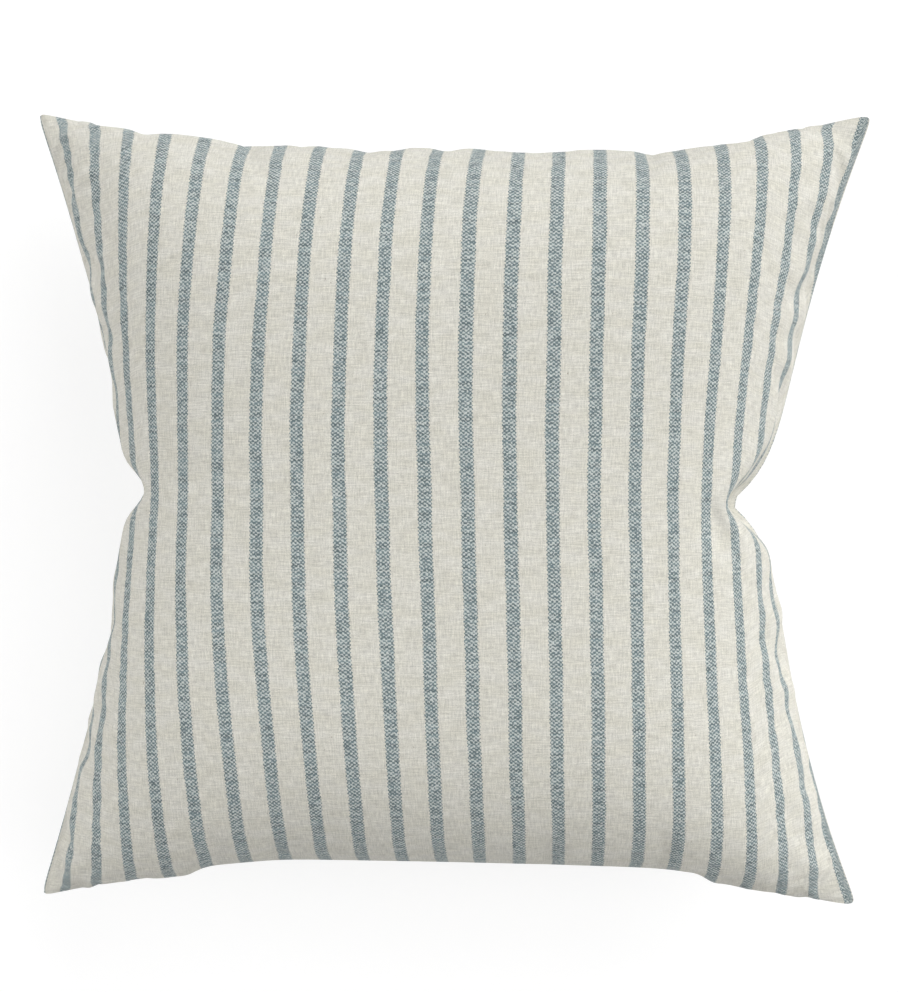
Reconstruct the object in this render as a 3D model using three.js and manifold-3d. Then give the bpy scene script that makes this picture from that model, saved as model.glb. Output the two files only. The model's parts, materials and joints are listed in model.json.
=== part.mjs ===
// Throw pillow: a square striped linen cover with knife-edge seams and a concealed zip in its lower seam,
// over a separate ticking insert filled with feathers. It lies on its back on a level surface.
//
// Millimetres. +Z is up, out of the front face. +X runs across the stripes, and +Y along them.
// The origin is on the surface that the pillow lies on, under the middle of the pillow.
import * as THREE from "three";
import { mergeVertices } from "three/addons/utils/BufferGeometryUtils.js";
import Module from "manifold-3d";

const wasm = await Module();
wasm.setup();

// ---- Driving dimensions -------------------------------------------------------------------------------

// The stuffed cover, seen from above. Its four corners stand proud, and its sides pull in between them.
const CORNER_HALF_X = 260;
const CORNER_HALF_Y = 248;
const SIDE_PINCH = 77; // how far the left and right seams pull in at mid height
const END_PINCH = 36; // how far the upper and lower seams pull in along their straight stretch
const PINCH_ROUNDING = 0.12; // radius of the side pinch, as a share of the half height
const EAR_LENGTH = 100; // from each corner to the straight stretch of the upper and lower seams
const EAR_POWER = 1.6; // how gradually the ears leave the straight stretch

// The cover and the insert from the side.
const SEAM_HEIGHT = 88; // the seam's height above the surface
const CROWN = 98; // how far a face stands from the seam's plane; the back one is flattened where it rests
const PROFILE_POWER = 2.4; // fullness of the faces
const WALL_POWER = 2.6; // steepness of the faces at the seam
const SEAM_GAP = 0.4; // between the front and back pieces, in the plane of the seam
const CLEARANCE = 0.3; // between other pieces that touch or slide on each other

// Cloth, measured at the crown. Towards the seam it thickens into the turned-in allowance.
const COVER_CLOTH = 0.9;
const TICKING = 0.6;
const INSERT_PLAN_SHARE = 0.92; // the insert stops short of the seams, where the allowances and the zip lie
const INSERT_CROWN_CLEARANCE = 1.1; // between the cover's cloth and the ticking
const FILL_CLEARANCE = 0.5; // between the ticking and the filling
const FILL_REACH = 0.98; // how nearly the filling reaches the ticking's seams and corners

// The concealed zip. Depths run inwards, in +Y, from the lower seam line.
const ZIP_MARGIN = 12; // from each end of the tape to the ear beyond it
const STOP_LENGTH = 2.5;
const SLIT_HALF_HEIGHT = 1.1; // the mouth between the two faces, behind which the zip lies
const TAPE_SETBACK = 2.2; // from the inside of the cover's edge to the tape
const TAPE_THICKNESS = 0.6;
const TAPE_WIDTH = 9;
const TAPE_OVERRUN = 8; // tape past each end stop
const WEB_THICKNESS = 0.5; // the tape's edge, turned in to hold the coil
const COIL_DEPTH = 1.9;
const COIL_HEIGHT = 2.1;
const NECK_THICKNESS = 0.7; // the slider's neck, between the two coils
const SLIDER_LENGTH = 9;
const SLIDER_WALL = 0.9;
const PARKING_GAP = 0.5; // from the slider to the stop at either end of its travel
const BRIDGE_LENGTH = 6; // the loop outside the seam that holds the pull
const BRIDGE_WALL = 1.1;
const BRIDGE_REACH = 3; // how far the loop stands out of the seam
const PULL_LENGTH = 22;
const PULL_THICKNESS = 0.8;
const PULL_EYE_HALF_WIDTH = 1.9;
const PULL_TIP_RADIUS = 2.6;
const PULL_BAR = 0.9;
const PULL_AXIS_OUT = 1.05; // the pull's hinge line, this far outside the seam
const PULL_REST_ANGLE = 20; // degrees that it stands off the seam, clear of the flare beyond the zip

// Threads and labels.
const SEAM_THREAD = 0.9; // the overlocked edge of a seam, drawn as one square cord
const THREAD = 0.5;
const CLOSING_LENGTH = 150; // the stretch of the insert's lower seam closed after filling
const LABEL = { width: 36, height: 24, thickness: 0.6 };
const LABEL_OFFSET_X = 95;
const INSERT_SEAM_SHARE = 0.85; // of the insert's straight stretch, clear of its ears

const FACE_SEGMENTS = 20; // facets across a face of the cover
const INSERT_SEGMENTS = 14;

// ---- Materials ----------------------------------------------------------------------------------------

const material = (color, roughness, metalness = 0) =>
  new THREE.MeshStandardMaterial({ color, roughness, metalness });

const STRIPED_LINEN = material(0xd4d2c7, 0.95);
const TICKING_COTTON = material(0xf0eee8, 0.9);
const FEATHERS = material(0xf6f4ee, 1.0);
const NYLON = material(0xd9d6cc, 0.5);
const ZIP_TAPE = material(0xdcd9ce, 0.9);
const ZIP_METAL = material(0xb9b7b0, 0.35, 0.9);
const SEWING_THREAD = material(0xdedbd0, 0.8);
const LABEL_SATIN = material(0xf4f4f2, 0.6);

// ---- The pillow's form --------------------------------------------------------------------------------

const STRAIGHT_HALF = CORNER_HALF_X - EAR_LENGTH;
const UPPER_SEAM_Y = CORNER_HALF_Y - END_PINCH;
const LOWER_SEAM_Y = -UPPER_SEAM_Y;

/** Half width of the cover at v, from -1 at the lower corners to 1 at the upper ones. */
function halfWidth(v) {
  const arm = Math.hypot(v, PINCH_ROUNDING) - PINCH_ROUNDING;
  const longest = Math.hypot(1, PINCH_ROUNDING) - PINCH_ROUNDING;
  return CORNER_HALF_X - SIDE_PINCH * (1 - arm / longest);
}

/** Half height of the cover at u, from -1 at the left corners to 1 at the right ones. */
function halfHeight(u) {
  const straight = STRAIGHT_HALF / CORNER_HALF_X;
  const ear = Math.max(0, (Math.abs(u) - straight) / (1 - straight));
  return CORNER_HALF_Y - END_PINCH * (1 - ear ** EAR_POWER);
}

/** Share of the crown that a face reaches at (u, v): 1 in the middle and 0 all along the seam. */
function fullness(u, v) {
  const across = 1 - Math.abs(u) ** PROFILE_POWER;
  const along = 1 - Math.abs(v) ** PROFILE_POWER;
  return Math.max(0, across * along) ** (1 / WALL_POWER);
}

// ---- Solids -------------------------------------------------------------------------------------------

/** Only positions, with shared vertices merged, as joining and cutting need. */
function merged(geometry) {
  geometry.deleteAttribute("normal");
  geometry.deleteAttribute("uv");
  return mergeVertices(geometry, 1e-3);
}

function solid(geometry) {
  const source = merged(geometry);
  return new wasm.Manifold(
    new wasm.Mesh({
      numProp: 3,
      vertProperties: new Float32Array(source.getAttribute("position").array),
      triVerts: new Uint32Array(source.getIndex().array),
    }),
  );
}

function geometryOf(manifold) {
  const mesh = manifold.getMesh();
  return new THREE.BufferGeometry()
    .setAttribute("position", new THREE.BufferAttribute(mesh.vertProperties, 3))
    .setIndex(new THREE.BufferAttribute(mesh.triVerts, 1));
}

/**
 * One face of a layer of the pillow, filled in to the middle of the seam's plane, or beyond it by foot.
 * A layer is { plan, rise, edge }: its shares of the cover's plan and thickness, and how thick its edge is.
 */
function dome(segments, layer, foot = 0) {
  const block = new THREE.BoxGeometry(2, 2, 2, segments, segments, 1);
  const position = block.getAttribute("position");
  // Facets are narrower towards the seam, where the faces turn down most.
  const graded = (t) => Math.sin((t * Math.PI) / 2);
  for (let i = 0; i < position.count; i += 1) {
    const isFace = position.getZ(i) > 0;
    const u = graded(position.getX(i));
    const v = graded(position.getY(i));
    const face = SEAM_GAP / 2 + layer.edge + CROWN * layer.rise * fullness(u, v);
    const x = u * halfWidth(v) * layer.plan;
    const y = v * halfHeight(u) * layer.plan;
    position.setXYZ(i, x, y, isFace ? face : -foot);
  }
  return solid(block);
}

/** The same face turned to the back of the pillow, and flattened at the layer's depth. */
const backDome = (segments, layer, foot = 0) =>
  dome(segments, layer, foot).mirror([0, 0, 1]).trimByPlane([0, 0, 1], -layer.depth);

/** A box between two corners, each [x, y, z]. */
function box([x0, y0, z0], [x1, y1, z1]) {
  return new THREE.BoxGeometry(x1 - x0, y1 - y0, z1 - z0).translate(
    (x0 + x1) / 2,
    (y0 + y1) / 2,
    (z0 + z1) / 2,
  );
}

/** A square cord along the seam line, between two places that at(t) gives for t from 0 to 1. */
function seamCord(at, width, steps) {
  const points = Array.from({ length: steps + 1 }, (_, i) => at(i / steps));
  const h = width / 2;
  const section = new THREE.Shape([
    new THREE.Vector2(-h, -h),
    new THREE.Vector2(h, -h),
    new THREE.Vector2(h, h),
    new THREE.Vector2(-h, h),
  ]);
  const path = new THREE.CurvePath();
  points.slice(1).forEach((end, i) => path.add(new THREE.LineCurve3(points[i], end)));
  return new THREE.ExtrudeGeometry(section, { steps, extrudePath: path });
}

const pillow = new THREE.Group();
pillow.name = "throw_pillow";

// Everything is placed from the middle of the seam's plane.
const body = new THREE.Group();
body.position.z = SEAM_HEIGHT;
pillow.add(body);

function add(parent, name, geometry, surface) {
  const mesh = new THREE.Mesh(geometry, surface);
  mesh.name = name;
  parent.add(mesh);
  return mesh;
}

// ---- Cover --------------------------------------------------------------------------------------------

/** The layer that lies a given distance inside another. Its flattened back lies at its depth. */
function inside(layer, distance) {
  const share = 1 - distance / layer.depth;
  return {
    plan: layer.plan * share,
    rise: layer.rise * share,
    depth: layer.depth - distance,
    edge: 0,
  };
}

/** Cuts a face off at the seam's plane, leaving half of the gap between the front and back pieces. */
const offSeam = (face, side) => face.trimByPlane([0, 0, side], SEAM_GAP / 2);

/** An open shell between two layers: the front face of the pillow, or the back one. */
function shell(segments, outer, inner, side) {
  const half = side > 0 ? dome : backDome;
  return offSeam(half(segments, outer).subtract(half(segments, inner, SEAM_GAP)), side);
}

const COVER_OUTSIDE = { plan: 1, rise: 1, depth: SEAM_HEIGHT, edge: COVER_CLOTH };
const COVER_INSIDE = inside(COVER_OUTSIDE, COVER_CLOTH);

const tapeLength = 2 * (STRAIGHT_HALF - ZIP_MARGIN);
const zipLength = tapeLength - 2 * TAPE_OVERRUN; // over the end stops
const tapeDepth = UPPER_SEAM_Y * (1 - COVER_INSIDE.plan) + TAPE_SETBACK;

/** A panel of the cover, with its half of the mouth of the zip cut from its lower edge. */
function coverPanel(side) {
  const mouth = box(
    [-zipLength / 2, LOWER_SEAM_Y - SEAM_GAP, -SLIT_HALF_HEIGHT],
    [zipLength / 2, LOWER_SEAM_Y + tapeDepth, SLIT_HALF_HEIGHT],
  );
  const panel = shell(FACE_SEGMENTS, COVER_OUTSIDE, COVER_INSIDE, side);
  return geometryOf(panel.subtract(solid(mouth)));
}

add(body, "cover_front_panel", coverPanel(1), STRIPED_LINEN);
add(body, "cover_back_panel", coverPanel(-1), STRIPED_LINEN);

// ---- Seam threads: the overlocked edge inside each seam ---------------------------------------------------

const SEAM_THREAD_REACH = 0.93; // how nearly each thread reaches the corners
const threadInset = CLEARANCE + SEAM_THREAD;
const threadShare = (half) => COVER_INSIDE.plan - threadInset / half;
const lowerEnd = (tapeLength / 2 + SEAM_THREAD) / CORNER_HALF_X;
const along = (from, to) => (t) => from + (to - from) * t;

/** The seam line at u along the upper (1) or lower (-1) side, moved in to where the thread runs. */
const endSeam = (side, from, to) => (t) => {
  const u = along(from, to)(t);
  const share = threadShare(halfHeight(u));
  return new THREE.Vector3(u * CORNER_HALF_X, side * halfHeight(u) * share, 0);
};
const sideSeam = (side) => (t) => {
  const v = along(-SEAM_THREAD_REACH, SEAM_THREAD_REACH)(t);
  const share = threadShare(halfWidth(v));
  return new THREE.Vector3(side * halfWidth(v) * share, v * CORNER_HALF_Y, 0);
};
const SEAM_THREADS = [
  ["seam_thread_top", endSeam(1, -SEAM_THREAD_REACH, SEAM_THREAD_REACH), 28],
  ["seam_thread_left", sideSeam(-1), 28],
  ["seam_thread_right", sideSeam(1), 28],
  ["seam_thread_bottom_left", endSeam(-1, -SEAM_THREAD_REACH, -lowerEnd), 8],
  ["seam_thread_bottom_right", endSeam(-1, lowerEnd, SEAM_THREAD_REACH), 8],
];
for (const [name, route, steps] of SEAM_THREADS) {
  add(body, name, seamCord(route, SEAM_THREAD, steps), SEWING_THREAD);
}

// ---- Zip ----------------------------------------------------------------------------------------------

// The zip's own frame: X along it, Y inwards from the seam line, Z across it.
const zip = new THREE.Group();
zip.position.y = LOWER_SEAM_Y;
body.add(zip);

const coilNear = NECK_THICKNESS / 2 + CLEARANCE; // the coil's edge beside the slider's neck
const coilFar = coilNear + COIL_HEIGHT;
const lipDepth = tapeDepth + TAPE_THICKNESS + CLEARANCE; // the slider's lips lie behind the tape
const channelDepth = lipDepth + SLIDER_WALL;
const coilStart = channelDepth + CLEARANCE;
const coilEnd = coilStart + COIL_DEPTH;
const backPlate = coilEnd + CLEARANCE;
const sliderInside = coilFar + CLEARANCE;
const sliderOutside = sliderInside + SLIDER_WALL;
const webFar = coilNear + WEB_THICKNESS;
const lipNear = webFar + CLEARANCE;
const stopInner = zipLength / 2 - STOP_LENGTH;

/** An outline given as [y, z] corners, made solid along X and centred on the zip's middle. */
function alongZip(corners, length) {
  const outline = new THREE.Shape(corners.map(([y, z]) => new THREE.Vector2(y, z)));
  const bar = new THREE.ExtrudeGeometry(outline, { depth: length, bevelEnabled: false });
  // The outline's own X, Y and depth become the zip's Y, Z and X.
  return bar.applyMatrix4(
    new THREE.Matrix4().set(0, 0, 1, -length / 2, 1, 0, 0, 0, 0, 1, 0, 0, 0, 0, 0, 1),
  );
}

/** The same corners on the other side of the seam's plane, still in the same turning order. */
const mirrored = (corners) => corners.map(([y, z]) => [y, -z]).reverse();
const onSide = (corners, side) => (side > 0 ? corners : mirrored(corners));

const tapeOutline = [
  [tapeDepth, coilNear],
  [channelDepth, coilNear],
  [channelDepth, webFar],
  [tapeDepth + TAPE_THICKNESS, webFar],
  [tapeDepth + TAPE_THICKNESS, coilNear + TAPE_WIDTH],
  [tapeDepth, coilNear + TAPE_WIDTH],
];
const coilOutline = [
  [coilStart, coilNear],
  [coilEnd, coilNear],
  [coilEnd, coilFar],
  [coilStart, coilFar],
];
const stitchLine = coilNear + TAPE_WIDTH * 0.7;
const stitchDepth = tapeDepth + TAPE_THICKNESS + CLEARANCE;

for (const [face, side] of [
  ["front", 1],
  ["back", -1],
]) {
  add(zip, `zipper_tape_${face}`, alongZip(onSide(tapeOutline, side), tapeLength), ZIP_TAPE);
  const coilLength = 2 * (stopInner - CLEARANCE);
  add(zip, `zipper_coil_${face}`, alongZip(onSide(coilOutline, side), coilLength), NYLON);
  const topStop = add(
    zip,
    `zipper_top_stop_${face}`,
    alongZip(onSide(coilOutline, side), STOP_LENGTH),
    ZIP_METAL,
  );
  topStop.position.x = zipLength / 2 - STOP_LENGTH / 2;
  const z = side * stitchLine;
  const stitches = box(
    [-tapeLength / 2, stitchDepth, z - THREAD / 2],
    [tapeLength / 2, stitchDepth + THREAD, z + THREAD / 2],
  );
  add(zip, `tape_thread_${face}`, stitches, SEWING_THREAD);
}

const bottomStop = add(
  zip,
  "zipper_bottom_stop",
  alongZip(
    [
      [coilStart, -coilFar],
      [coilEnd, -coilFar],
      [coilEnd, coilFar],
      [coilStart, coilFar],
    ],
    STOP_LENGTH,
  ),
  ZIP_METAL,
);
bottomStop.position.x = -(zipLength - STOP_LENGTH) / 2;

// The slider is parked by the top stops, which is the closed end.
const slider = new THREE.Group();
slider.position.x = stopInner - PARKING_GAP - SLIDER_LENGTH / 2;
zip.add(slider);

/** Two channels round the coils, joined by a back plate, with a slot in each for its tape. */
function sliderBody() {
  const n = NECK_THICKNESS / 2;
  const half = [
    [lipDepth, n],
    [backPlate, n],
    [backPlate, sliderInside],
    [channelDepth, sliderInside],
    [channelDepth, lipNear],
    [lipDepth, lipNear],
    [lipDepth, sliderOutside],
    [backPlate + SLIDER_WALL, sliderOutside],
  ];
  const turned = half.map(([y, z]) => [y, -z]).reverse();
  return alongZip([...turned, ...half].reverse(), SLIDER_LENGTH);
}

/** The flat neck that passes out between the coils, with an eye in it for the pull. */
function sliderBridge() {
  const halfLength = BRIDGE_LENGTH / 2;
  const plate = new THREE.Shape([
    new THREE.Vector2(-halfLength, -BRIDGE_REACH),
    new THREE.Vector2(halfLength, -BRIDGE_REACH),
    new THREE.Vector2(halfLength, channelDepth),
    new THREE.Vector2(-halfLength, channelDepth),
  ]);
  const eyeHalf = halfLength - BRIDGE_WALL;
  const eyeOuter = -BRIDGE_REACH + BRIDGE_WALL;
  const eyeInner = -2 * PULL_AXIS_OUT - eyeOuter;
  plate.holes.push(
    new THREE.Path([
      new THREE.Vector2(-eyeHalf, eyeOuter),
      new THREE.Vector2(-eyeHalf, eyeInner),
      new THREE.Vector2(eyeHalf, eyeInner),
      new THREE.Vector2(eyeHalf, eyeOuter),
    ]),
  );
  return new THREE.ExtrudeGeometry(plate, {
    depth: NECK_THICKNESS,
    bevelEnabled: false,
  }).translate(0, 0, -NECK_THICKNESS / 2);
}

add(slider, "zipper_slider", geometryOf(solid(sliderBody()).add(solid(sliderBridge()))), ZIP_METAL);

/** The pull: a flat drop with a stirrup at its end, whose bar passes through the slider's eye. */
function pullTab() {
  const eye = PULL_EYE_HALF_WIDTH;
  const tipX = -(PULL_LENGTH - PULL_TIP_RADIUS);
  const outline = new THREE.Shape();
  outline.moveTo(PULL_BAR / 2, -eye);
  outline.lineTo(PULL_BAR / 2, eye);
  outline.lineTo(-BRIDGE_LENGTH, eye);
  outline.lineTo(tipX, PULL_TIP_RADIUS);
  outline.absarc(tipX, 0, PULL_TIP_RADIUS, Math.PI / 2, (3 * Math.PI) / 2, false);
  outline.lineTo(-BRIDGE_LENGTH, -eye);
  const bridgeCorner = Math.hypot(BRIDGE_LENGTH / 2, BRIDGE_REACH - PULL_AXIS_OUT);
  const windowEnd = -(bridgeCorner + CLEARANCE);
  const windowHalf = NECK_THICKNESS / 2 + CLEARANCE;
  outline.holes.push(
    new THREE.Path([
      new THREE.Vector2(-PULL_BAR / 2, -windowHalf),
      new THREE.Vector2(windowEnd, -windowHalf),
      new THREE.Vector2(windowEnd, windowHalf),
      new THREE.Vector2(-PULL_BAR / 2, windowHalf),
    ]),
  );
  // Drawn in X and Z, and as thick as the plate in Y.
  return new THREE.ExtrudeGeometry(outline, {
    depth: PULL_THICKNESS,
    bevelEnabled: false,
    curveSegments: 8,
  })
    .translate(0, 0, -PULL_THICKNESS / 2)
    .rotateX(Math.PI / 2);
}

const pull = add(slider, "zipper_pull", pullTab(), ZIP_METAL);
pull.position.y = -PULL_AXIS_OUT;
pull.rotation.z = THREE.MathUtils.degToRad(PULL_REST_ANGLE);

// ---- Care label, in the upper seam of the cover --------------------------------------------------------

function label(x, y) {
  return box(
    [x - LABEL.width / 2, y - LABEL.thickness, -LABEL.height / 2],
    [x + LABEL.width / 2, y, LABEL.height / 2],
  );
}

const seamThreadY = UPPER_SEAM_Y * threadShare(UPPER_SEAM_Y) - SEAM_THREAD / 2;
add(body, "care_label", label(LABEL_OFFSET_X, seamThreadY - CLEARANCE), LABEL_SATIN);

// ---- Insert -------------------------------------------------------------------------------------------

const insertShare = 1 - (COVER_CLOTH + INSERT_CROWN_CLEARANCE) / SEAM_HEIGHT;
const INSERT_OUTSIDE = {
  plan: INSERT_PLAN_SHARE,
  rise: insertShare,
  depth: SEAM_HEIGHT * insertShare,
  edge: TICKING,
};
const INSERT_INSIDE = inside(INSERT_OUTSIDE, TICKING);
const FILLING = inside(INSERT_INSIDE, FILL_CLEARANCE);
FILLING.plan *= FILL_REACH;

for (const [face, side] of [
  ["front", 1],
  ["back", -1],
]) {
  const ticking = shell(INSERT_SEGMENTS, INSERT_OUTSIDE, INSERT_INSIDE, side);
  add(body, `insert_shell_${face}`, geometryOf(ticking), TICKING_COTTON);
}

const frontFilling = dome(INSERT_SEGMENTS, FILLING);
const backFilling = backDome(INSERT_SEGMENTS, FILLING);
add(body, "insert_fill", geometryOf(frontFilling.add(backFilling)), FEATHERS);

const insertSeamY = UPPER_SEAM_Y * INSERT_PLAN_SHARE;
const insertThread = (from, to, side) => {
  const y = side * (insertSeamY + CLEARANCE + THREAD / 2);
  return box([from, y - THREAD / 2, -THREAD / 2], [to, y + THREAD / 2, THREAD / 2]);
};
const straightInsert = STRAIGHT_HALF * INSERT_PLAN_SHARE * INSERT_SEAM_SHARE;
add(
  body,
  "insert_seam_thread",
  insertThread(-straightInsert, straightInsert, 1),
  SEWING_THREAD,
);
add(
  body,
  "insert_closing_thread",
  insertThread(-CLOSING_LENGTH / 2, CLOSING_LENGTH / 2, -1),
  SEWING_THREAD,
);

const insertLabelY = insertSeamY + CLEARANCE + THREAD + CLEARANCE + LABEL.thickness;
add(body, "insert_label", label(-LABEL_OFFSET_X, insertLabelY), LABEL_SATIN);

export default pillow;
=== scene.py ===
"""A striped linen throw pillow with a concealed zip over a feather insert, on a pale studio floor.

Every length is in metres. +Z is up, out of the pillow's front face, +X runs across the stripes and
+Y along them, away from the zip.
"""

import json
import logging
import math
from dataclasses import dataclass, field
from enum import Enum

import bmesh
import bpy
import numpy as np
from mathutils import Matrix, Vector

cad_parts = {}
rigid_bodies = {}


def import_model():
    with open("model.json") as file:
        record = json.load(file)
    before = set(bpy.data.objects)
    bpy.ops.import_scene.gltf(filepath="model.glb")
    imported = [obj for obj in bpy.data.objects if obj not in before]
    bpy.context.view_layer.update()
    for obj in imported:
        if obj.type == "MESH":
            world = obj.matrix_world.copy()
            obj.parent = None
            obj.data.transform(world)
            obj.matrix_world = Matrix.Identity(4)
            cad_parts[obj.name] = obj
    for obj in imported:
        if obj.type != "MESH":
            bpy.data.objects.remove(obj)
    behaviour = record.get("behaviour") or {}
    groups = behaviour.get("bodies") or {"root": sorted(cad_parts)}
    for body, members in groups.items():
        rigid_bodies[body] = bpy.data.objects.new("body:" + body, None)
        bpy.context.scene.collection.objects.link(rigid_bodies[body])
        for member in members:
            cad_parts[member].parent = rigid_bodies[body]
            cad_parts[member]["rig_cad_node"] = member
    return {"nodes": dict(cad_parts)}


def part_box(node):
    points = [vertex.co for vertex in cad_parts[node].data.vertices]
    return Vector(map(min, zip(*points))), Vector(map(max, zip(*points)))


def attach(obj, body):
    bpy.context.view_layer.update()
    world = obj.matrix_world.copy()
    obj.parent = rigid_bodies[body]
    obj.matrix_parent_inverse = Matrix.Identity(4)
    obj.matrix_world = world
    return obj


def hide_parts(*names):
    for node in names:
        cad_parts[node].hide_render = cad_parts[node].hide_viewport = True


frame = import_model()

FLAT_MAP = "cloth_flat"  # the UV map that holds each point's place on the flat cloth, in metres
LOG = logging.getLogger("throw_pillow")


class Face(Enum):
    """The two faces of the pillow, with the way each one stands off the seam's plane."""

    FRONT = 1
    BACK = -1


class Edge(Enum):
    """The four seams of the cover, seen from the front."""

    TOP = "top"
    BOTTOM = "bottom"
    LEFT = "left"
    RIGHT = "right"


# ---- Small helpers -----------------------------------------------------------------------------------


def smoothstep(low: float, high: float, value: np.ndarray) -> np.ndarray:
    """Rises smoothly from 0 at low to 1 at high.

    Args:
        low: Where the rise starts.
        high: Where it ends.
        value: The values to ease.

    Returns:
        The eased shares, from 0 to 1.
    """
    share = np.clip((value - low) / (high - low), 0.0, 1.0)
    return share * share * (3.0 - 2.0 * share)


def softplus(value: np.ndarray, rounding: float) -> np.ndarray:
    """A ramp that starts at 0 with a rounded corner.

    Args:
        value: The distance past the corner, negative before it.
        rounding: The size of the rounding.

    Returns:
        About 0 before the corner, and about the value itself after it.
    """
    return rounding * np.logaddexp(0.0, value / rounding)


def link(made: bpy.types.Object) -> bpy.types.Object:
    """Puts an object in the scene and returns it."""
    bpy.context.scene.collection.objects.link(made)
    return made


def mesh_object(
    name: str, points: np.ndarray, faces: list, edges: list | None = None
) -> bpy.types.Object:
    """Makes an object from points and faces.

    Args:
        name: The piece's name.
        points: Its points, one row each.
        faces: Lists of point numbers, turning anticlockwise seen from outside.
        edges: Pairs of point numbers, for a line.

    Returns:
        The new object, in the scene.
    """
    mesh = bpy.data.meshes.new(name)
    mesh.from_pydata([tuple(map(float, p)) for p in points], edges or [], faces)
    mesh.update()
    return link(bpy.data.objects.new(name, mesh))


def settle(
    piece: bpy.types.Object,
    body: str,
    material: bpy.types.Material | None,
    stands_for: tuple[str, ...] = (),
) -> bpy.types.Object:
    """Gives a finished piece its material and body, and reports it.

    Args:
        piece: The finished piece.
        body: The body that it moves with.
        material: Its finish, or None where it already has one.
        stands_for: The CAD nodes that it replaces.

    Returns:
        The piece.
    """
    if material is not None:
        piece.data.materials.clear()
        piece.data.materials.append(material)
    if "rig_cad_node" not in piece:
        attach(piece, body)
    if stands_for:
        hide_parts(*stands_for)
    LOG.info("%s: %d faces, on %s", piece.name, len(piece.data.polygons), body)
    return piece


def smooth(piece: bpy.types.Object) -> None:
    """Shades every face of a piece smooth."""
    piece.data.polygons.foreach_set("use_smooth", [True] * len(piece.data.polygons))


def refine(piece: bpy.types.Object) -> None:
    """Rounds a coarse grid of cloth with one level of subdivision."""
    finer = piece.modifiers.new("finer", "SUBSURF")
    finer.levels = finer.render_levels = 1


def thicken(piece: bpy.types.Object, thickness: float) -> None:
    """Gives a sheet the thickness of its cloth, inwards from its outer face."""
    thick = piece.modifiers.new("cloth", "SOLIDIFY")
    thick.thickness, thick.offset = thickness, -1.0


def sideways(line: np.ndarray) -> np.ndarray:
    """Finds the direction across a line at each of its points, in the plane of X and Y.

    Args:
        line: Its points.

    Returns:
        A unit vector for each point.
    """
    tangent = np.gradient(line[:, :2], axis=0)
    tangent /= np.linalg.norm(tangent, axis=1)[:, None]
    return np.stack([-tangent[:, 1], tangent[:, 0]], axis=1)


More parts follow.
